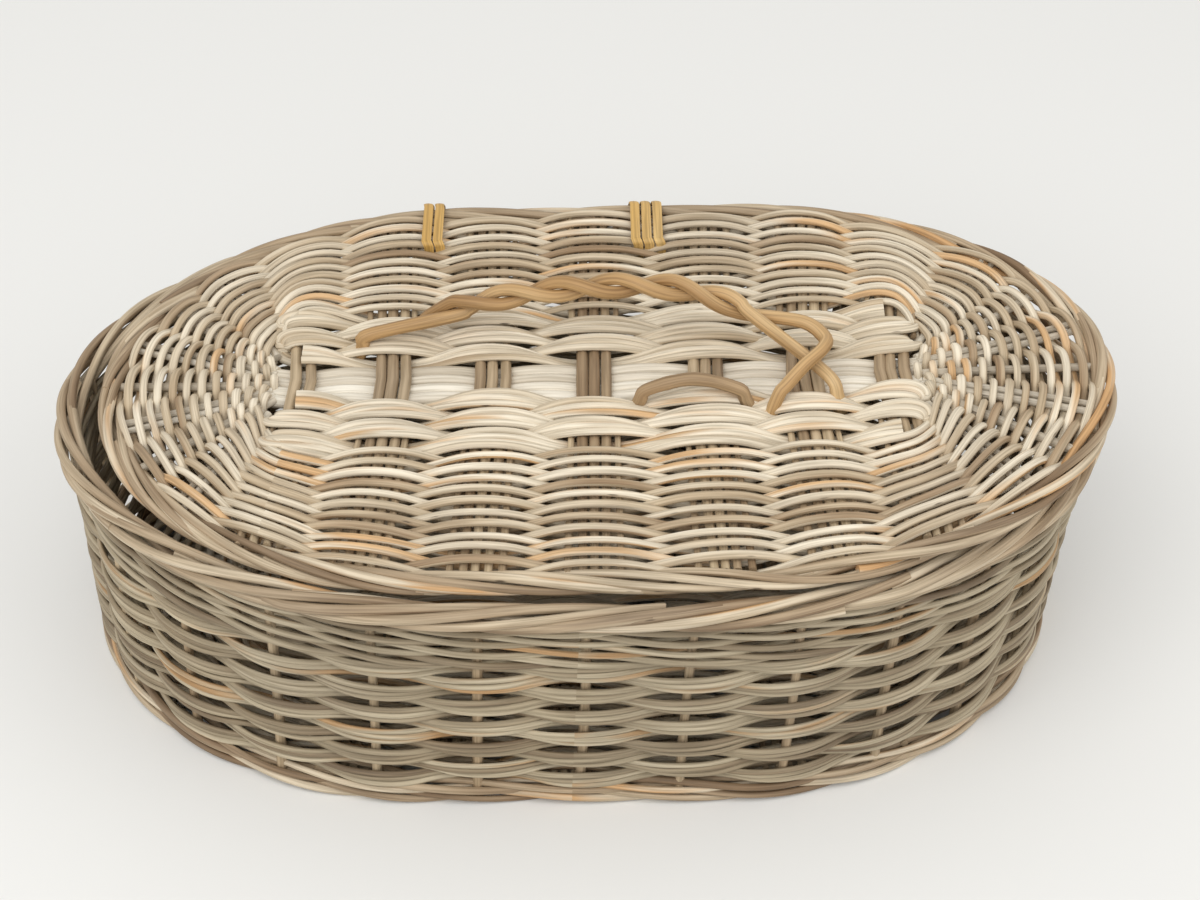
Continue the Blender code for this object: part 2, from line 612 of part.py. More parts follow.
def make_handle(weave):
    """Two rods twisted round one another, one folded over the other at the right, and a low tail rod."""
    middle = smooth([arch_point(*shares) for shares in zip(ARCH_ALONG_SHARES, ARCH_HEIGHT_SHARES)], ROD_STEP)
    _, across, over = frames(middle)
    length = np.concatenate([[0], np.cumsum(np.linalg.norm(np.diff(middle, axis=0), axis=1))])
    turn = TWIST_START + TWIST_TURN_SHARE * 2 * math.pi * length / length[-1]
    offset = (ROD_DIAMETER / 2 + GAP) * (np.cos(turn)[:, None] * across + np.sin(turn)[:, None] * over)
    front, rear = middle + offset, middle - offset
    bend = np.array(by_group(SIXTH_SHARE, ROD_BEND))
    fold = [np.array(by_group(SIXTH_SHARE, point)) for point in FOLD_ROUTE]
    tail_left, tail_right = by_group(FOURTH_SHARE, TAIL_LEFT), by_group(FIFTH_SHARE, TAIL_RIGHT)
    tail_middle = (np.array(tail_left) + np.array(tail_right)) / 2
    route_front = foot(by_group(SECOND_SHARE, LEFT_FOOT_FRONT), front[0]) + list(front) + [bend]
    route_front += foot(by_group(SIXTH_SHARE, RIGHT_FOOT), bend)[::-1]
    route_rear = foot(by_group(SECOND_SHARE, LEFT_FOOT_REAR), rear[0]) + list(rear) + fold
    route_rear += foot(by_group(SIXTH_SHARE, FOLD_FOOT), fold[-1])[::-1]
    route_tail = foot(tail_left, tail_middle) + [np.append(tail_middle, TAIL_RISE)]
    route_tail += foot(tail_right, tail_middle)[::-1]
    sockets = []
    for name, route, colour in (("handle_rod_front", route_front, HONEY),
                                ("handle_rod_rear", route_rear, HONEY),
                                ("handle_tail_rod", route_tail, TAN)):
        line = smooth(route, ROD_STEP)
        rows = tube(line, ROD_DIAMETER / 2, ROD_SIDES)
        make(name, [rows], colour, 0.45, carrier=hinge_line, place=LID_PLACE, smooth_over=ROUND)
        for end in (line, line[::-1]):
            inside = end[:np.argmax(end[:, 2] > OVERRUN) + 1]
            down = (inside[0] - inside[1]) / np.linalg.norm(inside[0] - inside[1])
            path = np.vstack([inside[0] + OVERRUN * down, inside])
            sockets.append(tube(path, ROD_DIAMETER / 2 + 1.5 * GAP, ROD_SIDES))
        print(f"{name}: {len(line)} points along the rod")
    cut(weave, make("rod_sockets", sockets, carrier=hinge_line, place=LID_PLACE))


upper_wale = make_wall()
BASE_TOP = BASE_LIFT + PLATE_THICKNESS
BASE = inset(WALL_FOOT._replace(straight=wall_at(BASE_TOP).straight), WALL_THICKNESS + GAP)
make_plate("base", BASE, BASE_TOP, False)
on_lid = {"carrier": hinge_line, "place": LID_PLACE}
bundle("lid_border", LID, LID_BORDER_WIDTH, LID_BORDER_HEIGHT, 0, BROWN, **on_lid)
lid_weave = make_plate("lid", inset(LID, LID_BORDER_WIDTH + GAP), LID_WEAVE_PROUD, True, **on_lid)
make_hinge(lid_weave, upper_wale)
make_handle(lid_weave)
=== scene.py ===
# %% [markdown]
# # An oval willow basket with a hinged lid
#
# The basket is woven from whole willow rods. Nearly all of it is one idea repeated: a rod that follows an
# oval and passes over and under the sticks that cross it. So the lesson builds one rod surface with numpy,
# works out where each rod runs, and lets the weaving make its own shadows and gaps.
#
# All lengths are metres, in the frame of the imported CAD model, with +Z up and the front towards -Y.

# %% Load the frame
import json
import math
from collections import namedtuple

import bpy
import numpy as np
from mathutils import Matrix, Vector

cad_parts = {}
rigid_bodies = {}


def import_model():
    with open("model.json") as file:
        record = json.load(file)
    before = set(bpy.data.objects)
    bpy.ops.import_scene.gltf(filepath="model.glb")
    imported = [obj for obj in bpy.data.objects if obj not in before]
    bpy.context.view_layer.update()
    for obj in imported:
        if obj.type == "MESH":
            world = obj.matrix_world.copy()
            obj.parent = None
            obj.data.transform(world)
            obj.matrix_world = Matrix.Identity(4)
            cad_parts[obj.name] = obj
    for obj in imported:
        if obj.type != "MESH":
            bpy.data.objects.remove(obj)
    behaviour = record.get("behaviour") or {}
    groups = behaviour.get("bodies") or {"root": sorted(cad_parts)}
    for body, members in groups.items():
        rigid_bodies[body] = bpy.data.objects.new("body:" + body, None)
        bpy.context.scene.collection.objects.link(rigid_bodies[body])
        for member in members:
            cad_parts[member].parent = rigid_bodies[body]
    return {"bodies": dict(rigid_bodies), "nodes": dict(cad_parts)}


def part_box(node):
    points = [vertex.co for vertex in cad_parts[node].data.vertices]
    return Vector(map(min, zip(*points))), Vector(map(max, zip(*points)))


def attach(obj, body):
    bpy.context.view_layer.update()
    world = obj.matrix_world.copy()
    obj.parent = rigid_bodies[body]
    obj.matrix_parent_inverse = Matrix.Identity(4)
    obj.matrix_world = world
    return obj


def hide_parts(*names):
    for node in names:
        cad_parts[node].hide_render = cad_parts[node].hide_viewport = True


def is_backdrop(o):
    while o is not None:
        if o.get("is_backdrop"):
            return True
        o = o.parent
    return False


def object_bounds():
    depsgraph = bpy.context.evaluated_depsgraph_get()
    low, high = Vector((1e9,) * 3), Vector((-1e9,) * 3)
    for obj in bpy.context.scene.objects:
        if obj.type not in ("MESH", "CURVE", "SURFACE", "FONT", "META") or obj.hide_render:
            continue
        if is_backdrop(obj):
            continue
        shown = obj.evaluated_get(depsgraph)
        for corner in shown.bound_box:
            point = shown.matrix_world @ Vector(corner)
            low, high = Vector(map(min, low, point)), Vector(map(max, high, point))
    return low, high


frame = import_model()
for item in list(bpy.data.objects):
    if item.name not in frame["nodes"] and item not in frame["bodies"].values():
        bpy.data.objects.remove(item, do_unlink=True)
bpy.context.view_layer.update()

# %% [markdown]
# ## Sizes of the basket
#
# The wall flares a little from the base to the rim, so each level has its own oval: straight sides, and half
# an ellipse at each end. These sizes are the CAD model's, and the levels are read from its nodes.

# %% Ovals and levels
Oval = namedtuple("Oval", "half_length half_width straight centre")

RIM = Oval(0.240, 0.1465, 0.037, 0)
WALL_HEAD = Oval(0.2345, 0.141, 0.037, 0)
WALL_FOOT = Oval(0.2296, 0.1368, 0.063, -0.0042)
LID = Oval(0.2291, 0.1345, 0.0637, 0)
WALL_THICKNESS = 0.0105
RIM_WIDTH, RIM_HEIGHT = 0.014, 0.012
LID_BORDER_WIDTH, LID_BORDER_HEIGHT = 0.012, 0.010

FOOT_BOTTOM, FOOT_TOP = (corner.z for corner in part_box("foot_wale"))
SIDE_BOTTOM, SIDE_TOP = (corner.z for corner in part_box("side_weave"))
UPPER_BOTTOM, UPPER_TOP = (corner.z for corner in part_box("upper_wale"))
RIM_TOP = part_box("stakes_and_rim")[1].z
LID_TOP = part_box("lid_border")[1].z
BASE_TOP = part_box("base_weave")[1].z
LID_PLACE = np.array([0.010, 0.0015, LID_TOP])
print(f"rim at {RIM_TOP:.4f}, lid's border up to {LID_TOP:.4f}, base at {BASE_TOP:.4f}")


# %% Ovals as curves
def inset(oval, depth):
    """The oval drawn in by depth all round."""
    return oval._replace(half_length=oval.half_length - depth, half_width=oval.half_width - depth)


def oval_points(oval, shares):
    """Points at shares of the way round, from the front's middle to the right.

    The outline is laid out in fine steps, and each share is looked up by its length along the outline.
    """
    turn = np.linspace(-math.pi / 2, math.pi / 2, 400)
    right_x = oval.straight + (oval.half_length - oval.straight) * np.cos(turn)
    right_y = oval.half_width * np.sin(turn)
    x = np.concatenate([[0], right_x, -right_x[::-1], [0]])
    y = np.concatenate([[-oval.half_width], right_y, right_y[::-1], [-oval.half_width]])
    length = np.concatenate([[0], np.cumsum(np.hypot(np.diff(x), np.diff(y)))])
    along = (np.asarray(shares) % 1) * length[-1]
    return np.stack([np.interp(along, length, x) + oval.centre, np.interp(along, length, y)], axis=-1)


def outward(flat):
    """Outward directions of a closed outline: its direction turned a quarter to the right."""
    ahead = np.roll(flat, -1, axis=-2) - np.roll(flat, 1, axis=-2)
    ahead /= np.linalg.norm(ahead, axis=-1, keepdims=True)
    return np.stack([ahead[..., 1], -ahead[..., 0]], axis=-1)


def side_limit(oval, x):
    """Half-width of the oval at x: on the ends, the half-width times the root of 1 - share squared."""
    past = np.maximum(np.abs(x - oval.centre) - oval.straight, 0) / (oval.half_length - oval.straight)
    return oval.half_width * np.sqrt(np.maximum(1 - past ** 2, 0))


# %% [markdown]
# ## One rod surface for everything
#
# A willow rod is a long, slightly uneven cylinder. Its surface here is a flattened ring carried along a
# path. Many rods share one mesh, and each keeps its own tone and its own stretch of bark, held in a UV map
# that runs along the rod in metres. Whole arrays of rods are worked out at once.

# %% Rod surfaces
RIGHTWARD, UP = (1.0, 0.0, 0.0), (0.0, 0.0, 1.0)


def unit(vectors):
    """The vectors at length 1."""
    return vectors / np.maximum(np.linalg.norm(vectors, axis=-1, keepdims=True), 1e-12)


def sweep(paths, lift, wide, thick, sides, closed):
    """Rings of rods: path point + wide/2 cos(turn) sideways + thick/2 sin(turn) along the lift.

    The lift is one direction for all, or one for each point of the paths.
    """
    if closed:
        tangent = unit(np.roll(paths, -1, axis=1) - np.roll(paths, 1, axis=1))
    else:
        tangent = unit(np.gradient(paths, axis=1))
    side = unit(np.cross(tangent, lift))
    rise = np.cross(side, tangent)
    turn = (np.arange(sides) + 0.5) * 2 * math.pi / sides
    across = (wide / 2)[..., None, None] * np.cos(turn)[:, None] * side[:, :, None]
    above = (thick / 2)[..., None, None] * np.sin(turn)[:, None] * rise[:, :, None]
    return paths[:, :, None] + across + above


def wobble(random, rods, points, size, waves, closed=True):
    """A smooth uneven line per rod, as a sum of a few sines of random phase, about size high."""
    along = np.arange(points) / points
    total = np.zeros((rods, points))
    for wave in waves:
        number = wave if closed else wave * 0.73
        phase = random.uniform(0, 2 * math.pi, (rods, 1))
        total += np.sin(2 * math.pi * number * along + phase) * random.uniform(0.4, 1, (rods, 1))
    return size * total / math.sqrt(len(waves))


def rod_faces(rods, points, sides, closed):
    """Corner numbers of the faces between rings, and the flat caps of rods that end."""
    index = np.arange(rods * points * sides).reshape(rods, points, sides)
    here = index if closed else index[:, :-1]
    ahead = np.roll(index, -1, axis=1) if closed else index[:, 1:]
    quads = np.stack([here, ahead, np.roll(ahead, -1, axis=2), np.roll(here, -1, axis=2)], axis=-1)
    caps = [] if closed else np.concatenate([index[:, 0], index[:, -1, ::-1]]).tolist()
    return quads.reshape(-1, 4).tolist() + caps


def rod_uv(rings, closed):
    """UV of each face corner: metres along the rod, and metres round it."""
    rods, points, sides = rings.shape[:3]
    middle = rings.mean(axis=2)
    step = np.linalg.norm(np.roll(middle, -1, axis=1) - middle, axis=-1)
    length = np.concatenate([np.zeros((rods, 1)), np.cumsum(step, axis=1)], axis=1)
    length += np.arange(rods)[:, None] * 1.371
    girth = np.linalg.norm(rings[:, 0, 0] - rings[:, 0, sides // 2], axis=-1).mean() * math.pi
    spans = points if closed else points - 1
    along = np.stack([length[:, :spans], length[:, 1:spans + 1]], axis=-1)[:, :, None, [0, 1, 1, 0]]
    around = (np.arange(sides)[:, None] + [0, 0, 1, 1]) * girth / sides
    flat = np.stack(np.broadcast_arrays(along, around[None, None]), axis=-1).reshape(-1, 2)
    if closed:
        return flat
    cap = np.tile(np.stack([np.zeros(sides), np.arange(sides) * girth / sides], axis=-1), (2 * rods, 1))
    return np.concatenate([flat, cap])


def add_piece(name, rings, finish, body, stands_for, tones, closed=False):
    """Skin the rings of some rods into one smooth mesh, with their UV and tones, and put it on its body."""
    rods, points, sides = rings.shape[:3]
    mesh = bpy.data.meshes.new(name)
    mesh.from_pydata(rings.reshape(-1, 3).tolist(), [], rod_faces(rods, points, sides, closed))
    mesh.uv_layers.new(name="rod").data.foreach_set("uv", rod_uv(rings, closed).astype(np.float32).ravel())
    tone = mesh.attributes.new("tone", "FLOAT", "POINT")
    tone.data.foreach_set("value", np.repeat(tones, points * sides).astype(np.float32))
    mesh.shade_smooth()
    if not closed:
        mesh.set_sharp_from_angle(angle=math.radians(60))
    mesh.materials.append(finish)
    piece = bpy.data.objects.new(name, mesh)
    bpy.context.scene.collection.objects.link(piece)
    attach(piece, body)
    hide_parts(*stands_for)
    print(f"{name}: {rods} rods, {len(mesh.polygons)} faces")
    return piece


# %% [markdown]
# ## Willow as a material
#
# Buff willow is pale tan with long streaks, greyer where it has weathered and browner where bark is left.
# Each rod takes a place on a ramp of tints from its tone, long noise along its UV gives the grain, and a
# wide noise on Object coordinates weathers whole areas. Small dark spots are the buds' scars.

# %% Material helpers
def tint(red, green, blue):
    """A colour given as 0 to 255 on screen, as the linear colour that a shader takes."""
    values = np.array([red, green, blue]) / 255
    low = values / 12.92
    high = ((values + 0.055) / 1.055) ** 2.4
    return (*np.where(values <= 0.04045, low, high), 1)


def add_node(tree, kind, inputs=None, **settings):
    """A node of that kind, with plain values or links put on its named inputs."""
    node = tree.nodes.new(kind)
    for key, value in settings.items():
        setattr(node, key, value)
    for key, value in (inputs or {}).items():
        if isinstance(value, bpy.types.NodeSocket):
            tree.links.new(value, node.inputs[key])
        else:
            node.inputs[key].default_value = value
    return node


def ramp(tree, factor, stops):
    """A colour ramp through (place, colour) stops."""
    node = add_node(tree, "ShaderNodeValToRGB", {"Fac": factor})
    elements = node.color_ramp.elements
    while len(elements) < len(stops):
        elements.new(0.5)
    for element, (place, colour) in zip(elements, stops):
        element.position = place
        element.color = colour
    return node.outputs["Color"]


def mix(tree, factor, first, second, blend="MIX"):
    """Two colours mixed by a factor."""
    node = tree.nodes.new("ShaderNodeMix")
    node.data_type = "RGBA"
    node.blend_type = blend
    for socket, value in zip((node.inputs[0], node.inputs[6], node.inputs[7]), (factor, first, second)):
        if isinstance(value, bpy.types.NodeSocket):
            tree.links.new(value, socket)
        else:
            socket.default_value = value
    return node.outputs[2]


def math_node(tree, operation, first, second=0.0):
    """One sum on numbers or sockets."""
    node = add_node(tree, "ShaderNodeMath", {0: first, 1: second}, operation=operation)
    return node.outputs[0]


# %% Willow
def willow(slot, name, stops, weather, weather_amount=0.35, grain=0.35, rough=0.62, bump=0.25):
    """Rod colour = ramp(tone + grain), weathered in wide patches, times fine streaks, with dark bud scars.

    Each stop is its place and a screen colour, and weather is the screen colour of the patches.
    """
    material = bpy.data.materials.new(name)
    material["slot"] = slot
    material.use_nodes = True
    tree = material.node_tree
    shader = tree.nodes["Principled BSDF"]
    uv = add_node(tree, "ShaderNodeUVMap", uv_map="rod").outputs[0]
    place = add_node(tree, "ShaderNodeTexCoord").outputs["Object"]
    tone = add_node(tree, "ShaderNodeAttribute", attribute_name="tone").outputs["Fac"]
    streak_uv = add_node(tree, "ShaderNodeMapping", {"Vector": uv, "Scale": (28, 900, 1)}).outputs[0]
    streak = add_node(tree, "ShaderNodeTexNoise", {"Vector": streak_uv, "Scale": 1.0, "Detail": 3.0},
                      noise_dimensions="2D").outputs["Fac"]
    long_uv = add_node(tree, "ShaderNodeMapping", {"Vector": uv, "Scale": (9, 90, 1)}).outputs[0]
    long = add_node(tree, "ShaderNodeTexNoise", {"Vector": long_uv, "Scale": 1.0, "Detail": 2.0},
                    noise_dimensions="2D").outputs["Fac"]
    wide = add_node(tree, "ShaderNodeTexNoise",
                    {"Vector": place, "Scale": 11.0, "Detail": 3.0}).outputs["Fac"]

    drift = math_node(tree, "MULTIPLY_ADD", long, 1.3)
    drift.node.inputs[2].default_value = -0.65
    colour = ramp(tree, math_node(tree, "ADD", tone, drift), [(at, tint(*screen)) for at, *screen in stops])
    patch = ramp(tree, wide, [(0.42, (0, 0, 0, 1)), (0.68, (1, 1, 1, 1))])
    patch = math_node(tree, "MULTIPLY", patch, weather_amount)
    colour = mix(tree, patch, colour, tint(*weather))
    low = 1 - grain
    streaks = ramp(tree, streak, [(0.3, (low, low * 0.97, low * 0.92, 1)), (0.62, (1, 1, 1, 1))])
    colour = mix(tree, 1.0, colour, streaks, "MULTIPLY")

    spot_uv = add_node(tree, "ShaderNodeMapping", {"Vector": uv, "Scale": (55, 160, 1)}).outputs[0]
    spots = add_node(tree, "ShaderNodeTexVoronoi", {"Vector": spot_uv, "Scale": 1.0}, voronoi_dimensions="2D")
    near = ramp(tree, spots.outputs["Distance"], [(0.06, (1, 1, 1, 1)), (0.16, (0, 0, 0, 1))])
    chosen = math_node(tree, "GREATER_THAN", spots.outputs["Color"], 0.86)
    colour = mix(tree, math_node(tree, "MULTIPLY", math_node(tree, "MULTIPLY", near, chosen), 0.75),
                 colour, tint(62, 46, 34))
    tree.links.new(colour, shader.inputs["Base Color"])

    shine = math_node(tree, "MULTIPLY_ADD", streak, 0.25)
    shine.node.inputs[2].default_value = rough - 0.12
    tree.links.new(shine, shader.inputs["Roughness"])
    relief = add_node(tree, "ShaderNodeBump", {"Height": streak, "Strength": bump, "Distance": 0.0006})
    tree.links.new(relief.outputs[0], shader.inputs["Normal"])
    shader.inputs["Specular IOR Level"].default_value = 0.35
    return material


woven = willow("woven_willow", "plate_rods",
               [(0.0, 160, 134, 104), (0.25, 196, 177, 148), (0.5, 216, 202, 178),
                (0.82, 236, 225, 204), (1.0, 214, 176, 130)],
               (178, 163, 142), weather_amount=0.3)
# The wall's rods are the plate's willow on a darker, greyer ramp. This is partly painted shade, because the
# upright wall gets less light than the lid, and partly a browner, greyer tone of its own. The upper wale
# takes the same darkened willow.
wall_willow_painted_shade = willow("woven_willow", "wall_rods_painted_shade",
                    [(0.0, 112, 92, 70), (0.3, 150, 134, 109), (0.6, 174, 160, 134),
                     (0.85, 196, 183, 157), (1.0, 184, 146, 102)],
                    (136, 124, 106))
border = willow("border_willow", "border_rods",
                [(0.0, 130, 106, 80), (0.3, 172, 150, 122), (0.6, 200, 182, 154),
                 (0.85, 220, 205, 180), (1.0, 202, 160, 112)],
                (156, 142, 122))
bleached = willow("bleached_sticks", "bleached_rods",
                  [(0.0, 188, 176, 156), (0.5, 226, 217, 200), (1.0, 242, 236, 222)],
                  (186, 176, 160), grain=0.28)
weathered = willow("weathered_sticks", "weathered_rods",
                   [(0.0, 146, 122, 94), (0.5, 178, 156, 126), (1.0, 204, 184, 152)],
                   (160, 146, 126))
honey = willow("handle_willow", "honey_rods",
               [(0.0, 150, 112, 68), (0.5, 192, 156, 108), (1.0, 214, 184, 138)],
               (172, 146, 112), weather_amount=0.25, rough=0.5)
tail = willow("tail_willow", "tail_rod",
              [(0.0, 138, 112, 82), (0.5, 180, 152, 116), (1.0, 204, 180, 144)],
              (156, 138, 116), rough=0.55)
cane = willow("split_cane", "cane_strip",
              [(0.0, 166, 128, 66), (0.5, 206, 164, 90), (1.0, 220, 186, 124)],
              (150, 132, 100), weather_amount=0.2, rough=0.42, bump=0.15)
print("materials:", [m.name for m in (woven, border, bleached, weathered, honey, tail, cane)])

# %% [markdown]
# ## The side weaving
#
# The wall is slewed: three rods travel side by side as one, out in front of a stake and in behind the next.
# The next slew does the reverse, so beside each stake a lens-shaped gap stays open. Seen along a rod, the
# distance from the wall's middle is a cosine whose half wave is one stake's spacing.

# %% Wall rods
STAKES = 26
FIRST_STAKE_SHARE = 0.0025
RIM_BOTTOM = RIM_TOP - RIM_HEIGHT
random = np.random.default_rng(7)


def over_under(phase):
    """A cosine with a broader crest: c (1.2 - 0.2 c squared)."""
    wave = np.cos(phase)
    return wave * (1.2 - 0.2 * wave ** 2)


def wall_points(shares, z, out):
    """Points in the wall at shares round, height z and a distance out of its middle.

    The outline at a height is the foot's outline blended into the head's by the height's share.
    """
    foot = oval_points(inset(WALL_FOOT, WALL_THICKNESS / 2), shares)
    head = oval_points(inset(WALL_HEAD, WALL_THICKNESS / 2), shares)
    share = (z / RIM_BOTTOM)[..., None]
    flat = foot * (1 - share) + head * share
    flat = flat + outward(head) * out[..., None]
    return np.concatenate([flat, z[..., None]], axis=-1)


def wall_lift(shares):
    """Outward direction of the wall at shares round, as a level vector."""
    flat = outward(oval_points(WALL_HEAD, shares))
    return np.concatenate([flat, np.zeros((len(shares), 1))], axis=-1)


SLEW_RODS = 3
SLEWS = 11
SLEW_REACH = 0.0036
SLEW_LAG = 0.16
STRAND_PITCH, STRAND_SPREAD = 0.0021, 0.0008
SIDE_ROD = 0.0028
POINTS_PER_STAKE = 12
WALL_ROD_SIDES = 8


def make_side_weave():
    """Slews of rods: out = reach cos(phase), and the rods of a slew spread apart where they pass a stake."""
    rods = SLEWS * SLEW_RODS
    points = STAKES * POINTS_PER_STAKE
    shares = np.arange(points) / points
    slew, number = np.divmod(np.arange(rods), SLEW_RODS)
    number = (number - (SLEW_RODS - 1) / 2)[:, None]
    pitch = (SIDE_TOP - SIDE_BOTTOM) / SLEWS
    lag = number * SLEW_LAG + random.normal(0, 0.08, (rods, 1))
    phase = (shares - FIRST_STAKE_SHARE) * STAKES * math.pi + slew[:, None] * math.pi + lag
    wave = over_under(phase)
    z = SIDE_BOTTOM + (slew[:, None] + 0.5) * pitch
    z = z + number * (STRAND_PITCH + STRAND_SPREAD * np.abs(wave))
    z = z + wobble(random, rods, points, 0.0004, (3, 5, 9, 14))
    out = SLEW_REACH * wave + wobble(random, rods, points, 0.0002, (5, 8))
    paths = wall_points(np.broadcast_to(shares, (rods, points)), z, out)
    width = SIDE_ROD * (random.uniform(0.88, 1.14, (rods, 1)) + wobble(random, rods, points, 0.05, (2, 3)))
    rings = sweep(paths, wall_lift(shares), width, width * 0.92, WALL_ROD_SIDES, True)
    add_piece("side_weave_rods", rings, wall_willow_painted_shade, "basket", ["side_weave"],
              random.beta(2, 2, rods), closed=True)


make_side_weave()

# %% [markdown]
# ## Upper wale and foot wale
#
# A wale is a rope-like row: three rods, each passing outside two stakes and behind the third, one stake
# after another. It locks the stakes in place. As a rod passes outside it also climbs over its neighbours,
# so out = reach x (cos(phase) + a shift), and z falls by climb x sin(phase), with the three rods a third of a
# wave apart. Nine waves go round, about three stakes to a wave.


# %% Wale rods
WALE_STRANDS = 3
WALE_WAVES = 9
POINTS_PER_WAVE = 36
WALE_CLIMB_SHARE = 0.36
WALE_ROUND_SHARE = 0.37
WALE_OUT_SHARE = 0.25


def make_wale(name, node, low, high, rounds, rod, reach, finish):
    """Rounds of a three-rod wale between two heights."""
    rods = rounds * WALE_STRANDS
    points = WALE_WAVES * POINTS_PER_WAVE
    shares = np.arange(points) / points
    at_round, strand = np.divmod(np.arange(rods), WALE_STRANDS)
    pitch = (high - low) / rounds
    phase = 2 * math.pi * (WALE_WAVES * shares + strand[:, None] / WALE_STRANDS
                           + at_round[:, None] * WALE_ROUND_SHARE)
    phase = phase + random.normal(0, 0.12, (rods, 1)) + wobble(random, rods, points, 0.15, (2, 5))
    z = low + (at_round[:, None] + 0.5) * pitch - (pitch * WALE_CLIMB_SHARE) * np.sin(phase)
    z = z + wobble(random, rods, points, 0.0003, (4, 7, 11))
    out = reach * (np.cos(phase) + WALE_OUT_SHARE)
    paths = wall_points(np.broadcast_to(shares, (rods, points)), z, out)
    width = rod * (random.uniform(0.9, 1.12, (rods, 1)) + wobble(random, rods, points, 0.05, (2, 3)))
    rings = sweep(paths, wall_lift(shares), width, width * 0.9, WALL_ROD_SIDES, True)
    add_piece(name, rings, finish, "basket", [node], random.beta(2, 2, rods), closed=True)


FOOT_LIFT = 0.0013
UPPER_ROD, UPPER_REACH, UPPER_ROUNDS = 0.0033, 0.0031, 4
FOOT_ROD, FOOT_REACH, FOOT_ROUNDS = 0.0036, 0.0029, 2
make_wale("upper_wale_rods", "upper_wale", UPPER_BOTTOM, UPPER_TOP,
          UPPER_ROUNDS, UPPER_ROD, UPPER_REACH, wall_willow_painted_shade)
make_wale("foot_wale_rods", "foot_wale", FOOT_BOTTOM + FOOT_LIFT, FOOT_TOP,
          FOOT_ROUNDS, FOOT_ROD, FOOT_REACH, border)

# %% [markdown]
# ## Stakes
#
# The stakes are the wall's uprights, one rod each, that stand in the base and end in the rim. They show in
# the gaps of the side weaving, so they are round rods with a little bow of their own.


# %% Stake rods
STAKE = 0.0046
STAKE_FOOT, STAKE_IN_RIM = 0.001, 0.005
STAKE_LEVELS = 24
STAKE_BOW = 0.0006


def make_stakes():
    """Straight lines from the foot to the rim at equal shares round, with a small random bow."""
    shares = FIRST_STAKE_SHARE + np.arange(STAKES) / STAKES
    levels = np.linspace(STAKE_FOOT, RIM_BOTTOM + STAKE_IN_RIM, STAKE_LEVELS)
    z = np.broadcast_to(levels, (STAKES, len(levels)))
    foot = oval_points(inset(WALL_FOOT, WALL_THICKNESS / 2), shares)[:, None]
    head = oval_points(inset(WALL_HEAD, WALL_THICKNESS / 2), shares)[:, None]
    share = (z / RIM_BOTTOM)[..., None]
    bow = np.sin(share * math.pi) * random.normal(0, STAKE_BOW, (STAKES, 1, 2))
    paths = np.concatenate([foot * (1 - share) + head * share + bow, z[..., None]], axis=-1)
    width = STAKE * random.uniform(0.9, 1.08, (STAKES, 1)) * np.linspace(1.04, 0.92, len(levels))
    rings = sweep(paths, RIGHTWARD, width, width, 10, False)
    add_piece("stake_rods", rings, weathered, "basket", ["stakes_and_rim"],
              random.uniform(0.2, 0.9, STAKES))


make_stakes()

# %% [markdown]
# ## Rolled borders
#
# The rim is the stakes' own tops, turned down and rolled round one another. Its rods run along the edge in
# a slow spiral, come up from inside the bundle and end in a slanting cut. Each rod here is a stretch of such
# a spiral: centre line + half width cos(angle) outwards + half height sin(angle) upwards.


# %% Border rods
BORDER_POINTS = 150
BORDER_STRANDS = 5
OUTLINE_POINTS = 1200
EMERGE_SHARE = 0.09


def border_rods(oval, width, height, top, rods, turns, rod, length_share, seed):
    """Rings of spiral rods in a bundle round an oval: angle = strand's start + turns x share round.

    At its start each rod comes up from inside the bundle, so its distance from the middle grows with
    (run / emerge share) to the power 0.7.
    """
    noise = np.random.default_rng(seed)
    points = BORDER_POINTS
    start = (np.arange(rods) / rods + noise.normal(0, 0.012, rods))[:, None]
    run = np.linspace(0, 1, points)
    shares = start + run * length_share
    strand = (np.arange(rods) % BORDER_STRANDS)[:, None]
    angle = 2 * math.pi * (strand / BORDER_STRANDS + turns * shares) + noise.normal(0, 0.12, (rods, 1))
    angle = angle + wobble(noise, rods, points, 0.18, (1, 2, 3), closed=False)
    middle = oval_points(inset(oval, width / 2), np.arange(OUTLINE_POINTS) / OUTLINE_POINTS)
    look, places = (shares % 1) * OUTLINE_POINTS, np.arange(OUTLINE_POINTS + 1)
    flat, level = [np.stack([np.interp(look, places, np.append(row, row[0])) for row in rows.T], axis=-1)
                   for rows in (middle, outward(middle))]
    emerge = 0.25 + 0.75 * np.clip(run / EMERGE_SHARE, 0, 1) ** 0.7
    out = (width - rod) / 2 * np.cos(angle) * emerge
    rise = (height - rod) / 2 * np.sin(angle) * emerge
    z = top - height / 2 + rise + wobble(noise, rods, points, 0.0003, (2, 3), closed=False)
    paths = np.concatenate([flat + level * out[..., None], z[..., None]], axis=-1)
    thick = rod * (noise.uniform(0.88, 1.08, (rods, 1)) * (1.05 - 0.18 * run))
    return sweep(paths, UP, thick, thick, 10, False), noise.beta(2, 2, rods)


RIM_TURNS, RIM_ROD, RIM_LENGTH_SHARE = 6, 0.0047, 0.24


def make_rim():
    """The basket's rim: one turned down top from each stake, five abreast."""
    rings, tones = border_rods(RIM, RIM_WIDTH, RIM_HEIGHT, RIM_TOP, STAKES, RIM_TURNS, RIM_ROD,
                               RIM_LENGTH_SHARE, 11)
    add_piece("rim_rods", rings, border, "basket", ["stakes_and_rim"], tones)


make_rim()

# %% [markdown]
# ## How the lid lies
#
# An old basket's lid never lies quite true. This one's right end rides high and reaches past the rim, and its
# left end has dropped inside. The lid's pieces are worked out flat, and one smooth bend lays them all.


# %% Laying the lid
LID_TILT = 0.010
LID_SAG = 0.0030
LID_RISE = 0.0045
LID_STRETCH = 0.018


